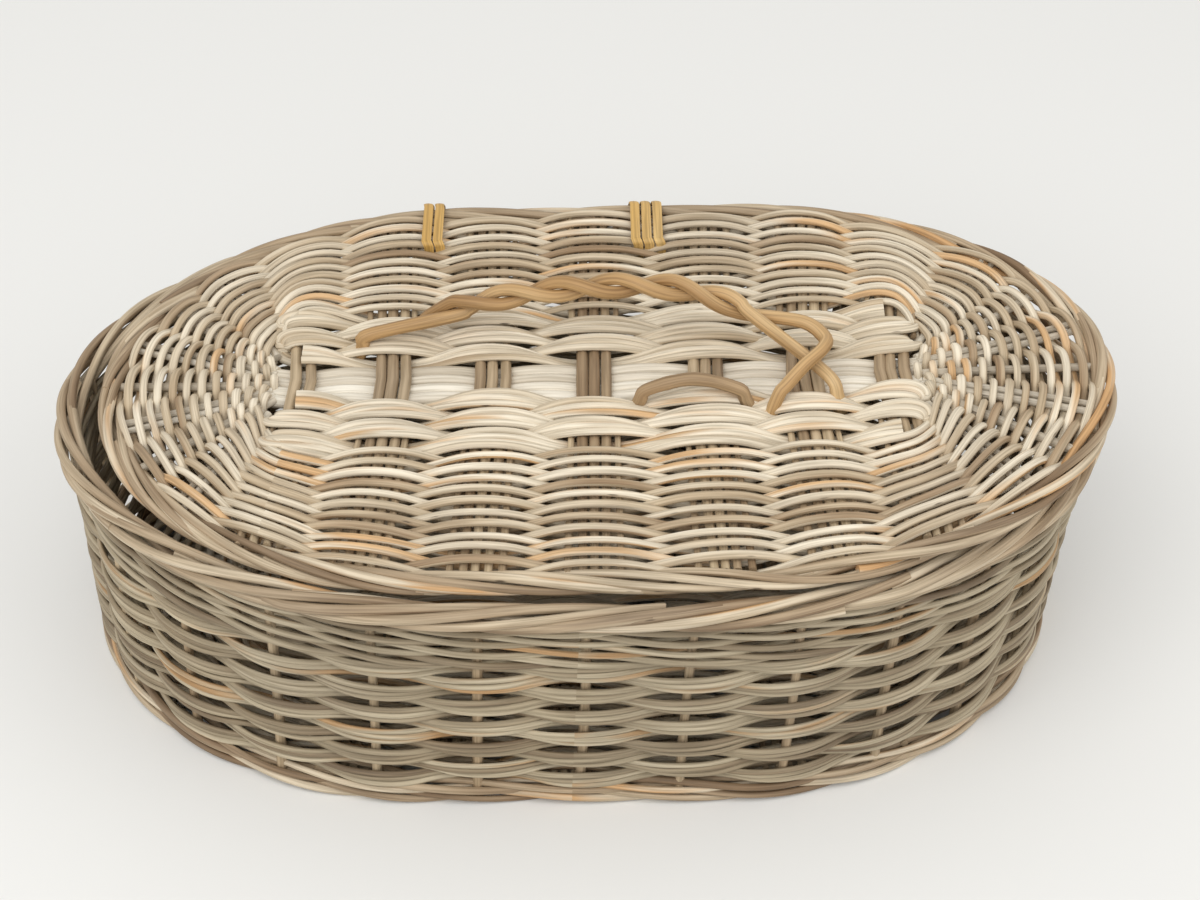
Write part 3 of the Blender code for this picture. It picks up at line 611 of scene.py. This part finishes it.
def lay_lid(points):
    """Lid points to the basket's frame: moved to the lid's place, tilted and bent.

    With share = distance to the right over the half length, and side = distance forward over the half width,
    z rises by tilt x distance, + rise x share squared at the right, - sag x (1 + side) / 2 elsewhere. To the
    right the lid also stretches by a share that grows with the distance.
    """
    placed = points + LID_PLACE
    share = points[..., 0] / LID.half_length
    right = np.clip(share, 0, None)
    side = -points[..., 1] / LID.half_width
    placed[..., 0] += LID_STRETCH * LID.half_length * right ** 2
    placed[..., 2] += LID_TILT * points[..., 0] + LID_RISE * right ** 2 * (1 - 0.25 * side)
    placed[..., 2] -= LID_SAG * (1 + side) / 2 * (1 - right)
    return placed


def lay_base(points):
    """Base points to the basket's frame."""
    return points + np.array([WALL_FOOT.centre, 0, BASE_TOP])


# %% [markdown]
# ## Sticks of the lid and base
#
# Both plates are begun with a bundle of long sticks and seven groups of cross sticks laid over it. At the
# two ends short spokes fan out like a hand. In each group three sticks cross the bundle, and thinner ones
# are pushed in beside them further out, so that the weaving stays firm where it is widest.

# %% Stick sizes
SLATH_HALF_LENGTH = 0.13608
GROUP_SHARES = np.array([-1.0, -0.70, -0.362, -0.024, 0.346, 0.67, 0.96])
GROUP_X = GROUP_SHARES * SLATH_HALF_LENGTH
SPLAY = 0.64
CROSS_STICK = 0.0054
LONG_STICK = 0.0062
CROSS_Z = -0.0037
LONG_Z = CROSS_Z - (CROSS_STICK + LONG_STICK) / 2 - 0.0003
THIN_STICK = 0.0036
STICK_RISE, RISE_REACH = 0.0016, 0.016
LONG_STICKS = 4
LONG_LIFT, LONG_ARCH, ARCH_REACH = 0.0026, 0.0022, 0.012
LONG_PAST_GROUP = 0.0135
MAIN_GAP, PAIR_GAP = 0.0002, 0.0012
MAIN_TAPER, CLOSING_SHARE = 0.3, 0.12
THIN_START_SHARE, THIN_ASIDE_SHARE, THIN_SPREAD = 0.24, 0.80, 0.0012
SPOKE, PAIRED_SPOKE, PAIR_ASIDE, PAIR_OPENING = 0.0046, 0.0037, 0.0019, 1.35
SPOKE_INWARD, EDGE_SPOKE_INWARD = 0.012, 0.004
SPOKE_TURNS = np.arange(-3, 4)
SPOKE_ROOT_STEP, SPOKE_END_STEP = np.radians(24), np.radians(13.4)
SPOKE_ROOT_OUT, SPOKE_ROOT_LENGTH, SPOKE_ROOT_WIDTH = 0.0135, 0.012, 0.024
STICK_POINTS, LONG_POINTS, SPOKE_POINTS = 41, 120, 24


def group_end(oval, x):
    """Where a group of cross sticks meets the oval: x splayed outwards, and the oval's half-width there."""
    y = side_limit(oval, x * (1 + SPLAY * oval.half_width))
    return x * (1 + SPLAY * y), y


def spoke_ends(oval, side):
    """Roots of an end's spokes on a small half oval, and their ends on the plate's outline."""
    root_turn = SPOKE_ROOT_STEP * SPOKE_TURNS
    end_turn = SPOKE_END_STEP * SPOKE_TURNS
    middle = np.abs(GROUP_X[0 if side < 0 else -1]) + SPOKE_ROOT_OUT
    root = np.stack([side * (middle + SPOKE_ROOT_LENGTH * np.cos(root_turn)),
                     SPOKE_ROOT_WIDTH * np.sin(root_turn)], axis=-1)
    end = np.stack([side * (oval.straight + (oval.half_length - oval.straight) * np.cos(end_turn)),
                    oval.half_width * np.sin(end_turn)], axis=-1)
    return root, end


# %% Cross sticks, long sticks and spokes
def stick_paths(starts, ends, z, points, bow, noise):
    """Nearly straight rods between two rows of flat points at height z, each with a small bow of its own."""
    run = np.linspace(0, 1, points)[None, :, None]
    flat = starts[:, None] * (1 - run) + ends[:, None] * run
    flat = flat + np.sin(run * math.pi) * noise.normal(0, bow, (len(starts), 1, 2))
    level = np.broadcast_to(np.reshape(z, (-1, 1, 1)), (*flat.shape[:2], 1))
    return np.concatenate([flat, level], axis=-1)


def group_sticks(prefix, oval, number, x, lay, body, noise):
    """One group: main sticks from edge to edge, and thinner ones beside them on each half."""
    end_x, reach = group_end(oval, x)
    mains = 2 if number == 1 else 3
    offset = (np.arange(mains) - (mains - 1) / 2) * (CROSS_STICK + (PAIR_GAP if mains == 2 else MAIN_GAP))
    along = np.linspace(-1, 1, STICK_POINTS)
    spread = offset[:, None] * (1 - CLOSING_SHARE * np.abs(along))
    main_x = x + (end_x - x) * np.abs(along) + spread + noise.normal(0, 0.0003, (mains, 1))
    over = STICK_RISE * np.exp(-(along * reach / RISE_REACH) ** 2)
    main = np.stack([main_x, np.broadcast_to(along * reach, main_x.shape),
                     np.broadcast_to(CROSS_Z + over, main_x.shape)], axis=-1)
    size = CROSS_STICK * noise.uniform(0.92, 1.06, (mains, 1)) * (1 - MAIN_TAPER * np.abs(along))
    main_rings = sweep(lay(main), UP, size, size * 0.95, 10, False)
    run = np.linspace(THIN_START_SHARE, 1, STICK_POINTS)
    aside = offset[-1] + CROSS_STICK * THIN_ASIDE_SHARE + THIN_SPREAD * run
    beside = np.array([np.stack([x + (end_x - x) * run + hand * aside, way * run * reach,
                                 np.full(STICK_POINTS, CROSS_Z)], axis=-1)
                       for way in (-1, 1) for hand in (-1, 1)])
    thin = THIN_STICK * noise.uniform(0.85, 1.1, (4, 1)) * np.linspace(0.8, 1.0, STICK_POINTS)
    thin_rings = sweep(lay(beside), UP, thin, thin, 10, False)
    rings = np.concatenate([main_rings, thin_rings])
    add_piece(f"{prefix}_group_{number}", rings, weathered, body, [f"{prefix}_cross_sticks_{number}"],
              noise.uniform(0.1, 0.9, len(rings)))


def fan_spokes(prefix, oval, lay, body, noise):
    """The short spokes at both ends; every other one is a pair of thinner rods."""
    for side, hand in ((-1, "left"), (1, "right")):
        roots, ends = spoke_ends(oval, side)
        for at, (root, end) in enumerate(zip(roots, ends)):
            ahead = (end - root) / np.linalg.norm(end - root)
            across = np.array([-ahead[1], ahead[0]])
            start = root - ahead * (EDGE_SPOKE_INWARD if at in (0, len(roots) - 1) else SPOKE_INWARD)
            pair = at % 2 == 0
            shift = np.array([-PAIR_ASIDE, PAIR_ASIDE] if pair else [0.0])[:, None] * across
            starts, stops = start + shift, end + shift * PAIR_OPENING
            paths = stick_paths(starts, stops, CROSS_Z - 0.0005, SPOKE_POINTS, 0.0006, noise)
            size = (PAIRED_SPOKE if pair else SPOKE) * noise.uniform(0.9, 1.08, (len(paths), 1))
            size = size * np.linspace(1.0, 0.86, SPOKE_POINTS)
            rings = sweep(lay(paths), UP, size, size, 10, False)
            add_piece(f"{prefix}_fan_{hand}_{at + 1}", rings, bleached, body,
                      [f"{prefix}_spoke_{hand}_{at + 1}"], noise.uniform(0.0, 0.7, len(rings)))


def long_sticks(prefix, lay, body, noise):
    """The bundle of long sticks under the groups. Between two groups it arches up to the weaving's level."""
    y = (np.arange(LONG_STICKS) - (LONG_STICKS - 1) / 2) * (LONG_STICK - 0.0001)
    starts = np.stack([np.full(LONG_STICKS, GROUP_X[0] - LONG_PAST_GROUP), y], axis=-1)
    ends = np.stack([np.full(LONG_STICKS, GROUP_X[-1] + LONG_PAST_GROUP), y], axis=-1)
    paths = stick_paths(starts, ends, np.full(LONG_STICKS, LONG_Z + LONG_LIFT), LONG_POINTS, 0.0002, noise)
    nearest = np.abs(paths[..., :1] - GROUP_X).min(axis=-1)
    paths[..., 2] += LONG_ARCH * (1 - np.exp(-(nearest / ARCH_REACH) ** 2))
    size = LONG_STICK * (1 + wobble(noise, LONG_STICKS, LONG_POINTS, 0.025, (2, 5), closed=False))
    rings = sweep(lay(paths), UP, size, size * 0.92, 12, False)
    add_piece(f"{prefix}_long_rods", rings, bleached, body, [f"{prefix}_long_sticks"],
              noise.uniform(0.3, 0.9, LONG_STICKS))


# %% [markdown]
# ## Weaving a plate
#
# A row of the plate's weaving is a closed curve through the points where it crosses the sticks: seven groups
# along the front, seven spokes at the right, seven groups at the rear, seven spokes at the left. Between two
# crossings it is a Catmull-Rom curve, and its height is a cosine that turns once over each stick and once
# under the next. Neighbouring rows do the reverse.
#
# Close to the long sticks the weaver fills the sides first: three rods together go to and fro, and turn
# round the end groups. Only then do the rows run on round the fans.


# %% Rows round the plate
SPOKE_PULL_SHARES = np.array([0.06, 0.15, 0.22, 0.25, 0.22, 0.15, 0.06])
ROW_REACH_GROUP, ROW_REACH_SPOKE, BUNDLE_REACH = 0.0046, 0.0038, 0.0045
FIRST_BUNDLE, BUNDLE_TURN_OUT = 0.0128, 0.0115
BUNDLE_RODS = 3
BUNDLE_PITCH, BUNDLE_SPREAD, BUNDLE_LAG = 0.0022, 0.0018, 0.14
SIDE_START = 0.046
ROWS, ROW_ROD = 22, 0.0039
BUNDLES, BUNDLE_ROD = 5, 0.0040


def curve_through(knots, steps, closed):
    """Catmull-Rom: at each span, a cubic through its ends with slopes from the neighbours on both sides."""
    if closed:
        before, here, there, after = (np.roll(knots, shift, axis=1) for shift in (1, 0, -1, -2))
    else:
        padded = np.concatenate([2 * knots[:, :1] - knots[:, 1:2], knots,
                                 2 * knots[:, -1:] - knots[:, -2:-1]], axis=1)
        before, here, there, after = padded[:, :-3], padded[:, 1:-2], padded[:, 2:-1], padded[:, 3:]
    share = (np.arange(steps) / steps)[:, None]
    before, here, there, after = (rows[:, :, None] for rows in (before, here, there, after))
    bend = 2 * before - 5 * here + 4 * there - after
    turn = 3 * (here - there) + after - before
    points = here + 0.5 * share * (there - before + share * (bend + share * turn))
    return points.reshape(len(knots), -1, knots.shape[-1])


def crossings(oval):
    """Inner and outer ends of the lines along which rows cross the sticks, in order round the plate."""
    end_x, end_y = group_end(oval, GROUP_X)
    inner = np.stack([GROUP_X * (1 + SPLAY * SIDE_START), np.full(len(GROUP_X), SIDE_START)], axis=-1)
    outer = np.stack([end_x, end_y], axis=-1)
    flip = np.array([1, -1])
    fans = {}
    for side in (-1, 1):
        root, end = spoke_ends(oval, side)
        fans[side] = (root - SPOKE_PULL_SHARES[:, None] * (end - root), end)
    starts = np.concatenate([inner * flip, fans[1][0], inner[::-1], fans[-1][0][::-1]])
    ends = np.concatenate([outer * flip, fans[1][1], outer[::-1], fans[-1][1][::-1]])
    return starts, ends


def closed_rows(oval, rows, rod, steps, sides, lay, noise):
    """Rings of the rows that run all round, one over and one under in turn."""
    starts, ends = crossings(oval)
    share = ((np.arange(rows) + 0.5) / rows)[:, None, None]
    knots = starts + (ends - starts) * share
    warps = knots.shape[1]
    flat = curve_through(knots, steps, True)
    points = warps * steps
    pitch = (1 / rows) * wobble(noise, rows, points, 0.16, (3, 5, 7, 11))
    flat = flat + np.repeat(ends - starts, steps, axis=0) * pitch[..., None]
    phase = math.pi * (np.arange(points) / steps + np.arange(rows)[:, None])
    phase = phase + noise.normal(0, 0.06, (rows, 1)) + wobble(noise, rows, points, 0.08, (4, 9))
    group = np.repeat(np.tile(np.repeat([1.0, 0.0], 7), 2), steps)
    group = (np.roll(group, steps // 2) + np.roll(group, -(steps // 2))) / 2
    reach = (ROW_REACH_GROUP * group + ROW_REACH_SPOKE * (1 - group)) * noise.uniform(0.92, 1.06, (rows, 1))
    z = CROSS_Z + reach * over_under(phase)
    paths = np.concatenate([flat, z[..., None]], axis=-1)
    width = rod * (noise.uniform(0.88, 1.12, (rows, 1)) + wobble(noise, rows, points, 0.05, (2, 3)))
    return sweep(lay(paths), UP, width, width * 0.9, sides, True)


def side_rows(half, bundles, rod, steps, sides, lay, noise):
    """Rings of three rods together that go to and fro on one half, and turn round the end groups.

    The phase is pi x the number of groups crossed so far, and half a group more at each turn.
    """
    pitch = (SIDE_START - FIRST_BUNDLE) / bundles
    knots, crossed = [], []
    for number in range(bundles):
        order = GROUP_X if number % 2 == 0 else GROUP_X[::-1]
        y = FIRST_BUNDLE + (number + 0.5) * pitch
        knots += [(x * (1 + SPLAY * y), y) for x in order]
        crossed += [number * len(order) + at for at in range(len(order))]
        if number < bundles - 1:
            knots.append((order[-1] + math.copysign(BUNDLE_TURN_OUT, order[-1]), y + pitch / 2))
            crossed.append(crossed[-1] + 0.5)
    strand = np.arange(BUNDLE_RODS) - 1
    flat = curve_through(np.repeat(np.array(knots)[None], BUNDLE_RODS, axis=0), steps, False)
    phase = np.repeat(np.array(crossed)[None, :, None], BUNDLE_RODS, axis=0)
    phase = curve_through(phase, steps, False)[..., 0] * math.pi
    phase = phase + strand[:, None] * BUNDLE_LAG
    wave = over_under(phase)
    points = flat.shape[1]
    spread = strand[:, None] * (BUNDLE_PITCH + BUNDLE_SPREAD * np.clip(wave, 0, 1))
    ahead = unit(np.gradient(flat, axis=1))
    across = np.stack([-ahead[..., 1], ahead[..., 0]], axis=-1)
    across = across * np.sign(across[..., 1:2] + 1e-9)
    flat = flat + across * (spread + wobble(noise, BUNDLE_RODS, points, 0.00035, (5, 9, 17)))[..., None]
    z = CROSS_Z + BUNDLE_REACH * wave
    paths = np.stack([flat[..., 0], half * flat[..., 1], z], axis=-1)
    width = noise.uniform(0.9, 1.1, (BUNDLE_RODS, 1))
    width = rod * (width + wobble(noise, BUNDLE_RODS, points, 0.08, (5, 13)))
    return sweep(lay(paths), UP, width, width * 0.86, sides, False)


# %% Make a plate
def make_plate(prefix, oval, lay, body, steps, sides, seed):
    """All the rods of a plate: sticks, spokes, rows to and fro and rows all round."""
    noise = np.random.default_rng(seed)
    for number, x in enumerate(GROUP_X, 1):
        group_sticks(prefix, oval, number, x, lay, body, noise)
    fan_spokes(prefix, oval, lay, body, noise)
    long_sticks(prefix, lay, body, noise)
    rings = closed_rows(oval, ROWS, ROW_ROD, steps, sides, lay, noise)
    add_piece(f"{prefix}_rows_all_round", rings, woven, body, [f"{prefix}_weave"],
              noise.beta(2, 2, len(rings)), closed=True)
    halves = [side_rows(half, BUNDLES, BUNDLE_ROD, steps, sides, lay, noise) for half in (-1, 1)]
    add_piece(f"{prefix}_rows_to_and_fro", np.concatenate(halves), woven, body, [f"{prefix}_weave"],
              noise.uniform(0.45, 0.8, 2 * BUNDLE_RODS))


make_plate("lid", inset(LID, LID_BORDER_WIDTH * 0.8), lay_lid, "lid", 12, 8, 21)
base_oval = inset(WALL_FOOT._replace(centre=0, straight=0.06), WALL_THICKNESS * 0.8)
make_plate("base", base_oval, lay_base, "basket", 8, 6, 22)


# %% Lid border
LID_BORDER_RODS = 24
LID_BORDER_TURNS, LID_BORDER_ROD, LID_BORDER_LENGTH_SHARE = -7, 0.0041, 0.26


def make_lid_border():
    """The lid's border, rolled the other way from the rim's and on thinner rods."""
    rings, tones = border_rods(LID, LID_BORDER_WIDTH, LID_BORDER_HEIGHT, 0, LID_BORDER_RODS,
                               LID_BORDER_TURNS, LID_BORDER_ROD, LID_BORDER_LENGTH_SHARE, 31)
    add_piece("lid_border_rods", lay_lid(rings), border, "lid", ["lid_border"], tones)


make_lid_border()

# %% [markdown]
# ## The handle
#
# Two fresh rods are twisted round one another while they are soft, bent to a low arch and pushed into the
# lid beside a group of sticks. At the right one of them folds down over the other. A third, short rod makes
# a low arch before them. Each is a tube along a smooth curve; the twist is a pair of opposite offsets that
# turn steadily along the arch.

# %% Handle routes
ROD = 0.0062
SECOND, FOURTH, FIFTH, SIXTH = GROUP_X[[1, 3, 4, 5]]
ARCH_LEFT = np.array([SECOND + 0.0009, 0.0300])
ARCH_RIGHT = np.array([SIXTH + 0.0079, -0.0024])
ARCH_RISE = 0.035
ARCH_LEAN = math.radians(20)
TWIST_START, TWIST_TURN_SHARE = math.radians(150), 2.7615
ROD_DEPTH, FOOT_STEP, FOOT_RUN = 0.009, 0.0035, 0.006
TAIL_RISE = 0.0117
ROD_STEP = 0.0015
ARCH_SHARES = np.array([(0.13, 0.44), (0.22, 0.62), (0.36, 0.82), (0.50, 0.95), (0.64, 1.0), (0.76, 0.88),
                        (0.84, 0.68)])
FOLD = np.array([(-0.0007, 0.0125, 0.0180), (0.0088, 0.0045, 0.0150), (0.0073, -0.0045, 0.0158),
                 (-0.0012, -0.0130, 0.0135), (-0.0097, -0.0195, 0.0070)]) + (SIXTH, 0, 0)
BEND = np.array([SIXTH + 0.0023, -0.0035, 0.0085])
LEFT_FOOT_FRONT, LEFT_FOOT_REAR = (SECOND - 0.0147, 0.0230), (SECOND + 0.0118, 0.0380)
RIGHT_FOOT, FOLD_FOOT = (SIXTH + 0.0136, -0.0180), (SIXTH - 0.0144, -0.0235)
TAIL_LEFT, TAIL_RIGHT = (FOURTH + 0.0205, -0.0180), (FIFTH + 0.0169, -0.0190)
ROD_GAP = 0.0001


def even(points, step):
    """A Catmull-Rom curve through the points, looked up at equal steps along its length."""
    fine = curve_through(np.asarray(points, float)[None], 60, False)[0]
    length = np.concatenate([[0], np.cumsum(np.linalg.norm(np.diff(fine, axis=0), axis=1))])
    along = np.linspace(0, length[-1], max(3, round(length[-1] / step)))
    return np.column_stack([np.interp(along, length, fine[:, axis]) for axis in range(3)])


def carried(points):
    """A sideways direction at each point, carried along the path without twist."""
    tangent = unit(np.gradient(points, axis=0))
    start = np.array([1.0, 0, 0]) if abs(tangent[0][0]) < 0.9 else np.array([0, 0, 1.0])
    across = []
    for direction in tangent:
        start = start - direction * (start @ direction)
        start = start / np.linalg.norm(start)
        across.append(start)
    return tangent, np.array(across)


def foot(place, towards):
    """A rod's end stuck into the lid at a place, leaning towards a second place."""
    place, towards = np.array(place), np.array(towards[:2])
    way = (towards - place) / np.linalg.norm(towards - place)
    return [np.append(place - way * FOOT_STEP, -ROD_DEPTH), np.append(place, 0),
            np.append(place + way * FOOT_STEP, FOOT_RUN)]


span = ARCH_RIGHT - ARCH_LEFT
rearward = np.array([-span[1], span[0]]) / np.linalg.norm(span)
rise = ARCH_SHARES[:, 1:] * ARCH_RISE
arch = np.hstack([ARCH_LEFT + ARCH_SHARES[:, :1] * span + rearward * rise * math.sin(ARCH_LEAN),
                  rise * math.cos(ARCH_LEAN)])
middle = even(arch, 2 * ROD_STEP)
tangent, across = carried(middle)
length = np.concatenate([[0], np.cumsum(np.linalg.norm(np.diff(middle, axis=0), axis=1))])
turn = (TWIST_START + TWIST_TURN_SHARE * 2 * math.pi * length / length[-1])[:, None]
offset = (ROD / 2 + ROD_GAP) * (np.cos(turn) * across + np.sin(turn) * np.cross(tangent, across))
front, rear = middle + offset, middle - offset
front_route = [*foot(LEFT_FOOT_FRONT, front[0]), *front[::2], BEND, *foot(RIGHT_FOOT, BEND)[::-1]]
rear_route = [*foot(LEFT_FOOT_REAR, rear[0]), *rear[::2], *FOLD, *foot(FOLD_FOOT, FOLD[-1])[::-1]]
tail_middle = (np.array(TAIL_LEFT) + TAIL_RIGHT) / 2
tail_route = [*foot(TAIL_LEFT, tail_middle), np.append(tail_middle, TAIL_RISE),
              *foot(TAIL_RIGHT, tail_middle)[::-1]]
print(f"handle arch {length[-1] * 1000:.0f} mm along its middle")


# %% Handle rods
def round_rod(name, route, finish, node, noise, tone):
    """One round rod along a route, a little thinner and thicker as it goes."""
    line = even(route, ROD_STEP)
    _, side = carried(line)
    width = ROD * (1 + wobble(noise, 1, len(line), 0.05, (3, 7, 13), closed=False))
    rings = sweep(lay_lid(line)[None], side[None], width, width, 14, False)
    add_piece(name, rings, finish, "lid", [node], np.array([tone]))


noise = np.random.default_rng(41)
for name, route, finish, node, tone in (("handle_front", front_route, honey, "handle_rod_front", 0.55),
                                        ("handle_rear", rear_route, honey, "handle_rod_rear", 0.4),
                                        ("handle_tail", tail_route, tail, "handle_tail_rod", 0.5)):
    round_rod(name, route, finish, node, noise, tone)

# %% [markdown]
# ## Cane hinges
#
# Two bindings of split cane hold the lid: each is sewn through the lid a little way in from its rear edge
# and goes round the rim. The cane is flat outside and pulled tight, so its path is what a band would take
# round four pegs: the rim, the lid's border, and the two corners of the slot in the lid.

# %% Cane paths
AXIS = np.array([0.1382, 0.1219])
CANE_WIDTH, CANE_THICKNESS, CANE_SPACE = 0.0048, 0.0013, 0.0007
LOOP_STITCH = 0.0345
LOOP_SLACK = 0.0026
LOOP_CORNER = 0.0012
BORDER_WRAP = (0.0063, 0.0064)
STITCH_TOP, STITCH_LOW = 0.0002, -0.0106
LOOP_START = math.radians(200)


def cane_path(turns, middle_x, steps):
    """At each angle the cane lies on the peg that reaches out furthest that way.

    An ellipse with half axes a and b reaches out furthest at centre + (a squared, b squared) x the direction
    over the length of (a, b) x the direction.
    """
    lift = CANE_THICKNESS / 2
    edge_y = LID_PLACE[1] + LID.half_width - AXIS[0]
    lid_z = LID_PLACE[2] - AXIS[1]
    slack, corner = RIM_WIDTH / 2 + LOOP_SLACK + lift, LOOP_CORNER + lift
    stitch = edge_y - LOOP_STITCH
    pegs = [((0, 0), (slack, slack)),
            ((edge_y - LID_BORDER_WIDTH / 2, lid_z - LID_BORDER_HEIGHT / 2),
             (BORDER_WRAP[0] + lift, BORDER_WRAP[1] + lift)),
            ((stitch, lid_z + STITCH_TOP), (corner, corner)),
            ((stitch, lid_z + STITCH_LOW), (corner, corner))]
    angle = LOOP_START + np.arange(steps * turns + 1) * 2 * math.pi / steps
    way = np.column_stack([np.cos(angle), np.sin(angle)])
    spots = []
    for centre, radii in pegs:
        reach = np.sqrt(((way * radii) ** 2).sum(axis=1))
        spots.append(np.array(centre) + way * np.array(radii) ** 2 / reach[:, None])
    spots = np.array(spots)
    best = np.argmax((spots * way).sum(axis=2), axis=0)
    flat = spots[best, np.arange(len(angle))]
    x = middle_x + (CANE_WIDTH + CANE_SPACE) * ((angle - angle[0]) / (2 * math.pi) - turns / 2)
    lift_way = np.column_stack([np.zeros(len(angle)), way])
    return np.column_stack([x, flat + AXIS]), lift_way


def make_cane(name, node, middle_x, turns, tone):
    """A flat cane wound round the rim and the lid's rear edge, and tilted as the lid is."""
    path, lift = cane_path(turns, middle_x, 72)
    path[:, 2] += LID_TILT * (path[:, 0] - LID_PLACE[0])
    width = np.full((1, len(path)), CANE_WIDTH)
    rings = sweep(path[None], lift[None], width, width * (CANE_THICKNESS / CANE_WIDTH), 10, False)
    add_piece(name, rings, cane, "lid", [node], np.array([tone]))


for hand, turns, tone in (("left", 2, 0.55), ("right", 3, 0.7)):
    low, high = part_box(f"hinge_loop_{hand}")
    make_cane(f"cane_{hand}", f"hinge_loop_{hand}", (low.x + high.x) / 2, turns, tone)

# %% [markdown]
# ## Floor, light and camera
#
# The floor is plain and pale and keeps the basket's shadow. One large soft lamp stands to the front left
# and above, a weaker one fills the right, and the sky gives the rest. The camera looks down at 41 degrees
# from 1.04 m.


# %% Stage
def make_floor():
    """A wide flat sheet at z = 0, with room past what the camera sees."""
    mesh = bpy.data.meshes.new("floor")
    reach = 12.0
    mesh.from_pydata([(-reach, -reach, 0), (reach, -reach, 0), (reach, reach, 0), (-reach, reach, 0)], [],
                     [(0, 1, 2, 3)])
    material = bpy.data.materials.new("floor")
    material.use_nodes = True
    shader = material.node_tree.nodes["Principled BSDF"]
    shader.inputs["Base Color"].default_value = tint(228, 228, 226)
    shader.inputs["Roughness"].default_value = 0.9
    mesh.materials.append(material)
    floor = bpy.data.objects.new("floor", mesh)
    bpy.context.scene.collection.objects.link(floor)
    floor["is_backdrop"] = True


def make_world():
    """A soft even sky, and a plain pale backdrop where the camera sees it."""
    world = bpy.data.worlds.new("studio")
    bpy.context.scene.world = world
    world.use_nodes = True
    tree = world.node_tree
    tree.nodes.clear()
    rays = tree.nodes.new("ShaderNodeLightPath")
    seen = math_node(tree, "MAXIMUM", rays.outputs["Is Camera Ray"], rays.outputs["Is Glossy Ray"])
    seen = math_node(tree, "MAXIMUM", seen, rays.outputs["Is Transmission Ray"])
    soft = add_node(tree, "ShaderNodeBackground", {"Color": (1, 0.99, 0.97, 1), "Strength": 0.8})
    plain = add_node(tree, "ShaderNodeBackground", {"Color": tint(236, 236, 234), "Strength": 1.0})
    both = add_node(tree, "ShaderNodeMixShader", {0: seen, 1: soft.outputs[0], 2: plain.outputs[0]})
    out = tree.nodes.new("ShaderNodeOutputWorld")
    tree.links.new(both.outputs[0], out.inputs["Surface"])


def make_lamp(name, place, size, power, aim=(0, 0, 0.08)):
    """A square soft lamp turned to the basket."""
    light = bpy.data.lights.new(name, "AREA")
    light.size = size
    light.energy = power
    lamp = bpy.data.objects.new(name, light)
    lamp.location = place
    way = np.array(aim) - np.array(place)
    lamp.rotation_euler = Vector(way).to_track_quat("-Z", "Y").to_euler()
    bpy.context.scene.collection.objects.link(lamp)


def make_camera():
    """Aim, turn, tilt and distance fitted to the photograph's ovals, for a frame of 1200 x 900."""
    turn, tilt, roll, distance = math.radians(0.239), math.radians(41), math.radians(-0.072), 1.0391
    target = np.array([0.0091, -0.0415, 0.1284])
    ahead = np.array([math.sin(turn) * math.cos(tilt), math.cos(turn) * math.cos(tilt), -math.sin(tilt)])
    right = unit(np.cross(ahead, (0, 0, 1)))
    up = np.cross(right, ahead)
    right, up = (math.cos(roll) * right + math.sin(roll) * up, math.cos(roll) * up - math.sin(roll) * right)
    place = target - ahead * distance
    data = bpy.data.cameras.new("camera")
    data.sensor_width = 36.0
    data.lens = 2344.1 / 1200 * data.sensor_width
    data.clip_start, data.clip_end = 0.01, 100
    camera = bpy.data.objects.new("camera", data)
    rows = np.column_stack([right, up, -ahead, place])
    camera.matrix_world = Matrix([*rows.tolist(), (0, 0, 0, 1)])
    bpy.context.scene.collection.objects.link(camera)
    bpy.context.scene.camera = camera
    print("camera at", [round(value, 3) for value in place])


make_floor()
make_world()
make_lamp("key", (-0.7, -1.3, 1.8), 2.0, 26)
make_lamp("fill", (1.4, -0.8, 1.3), 1.6, 7)
make_camera()
bpy.context.scene.view_settings.view_transform = "Standard"

# %% [markdown]
#
# The rods should fill the CAD model's box, and only the lid's bent right end may pass it by a few
# millimetres. The rods' box is printed.

# %% Finish
low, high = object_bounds()
print("visual box:", [round(value, 4) for value in (*low, *high)])
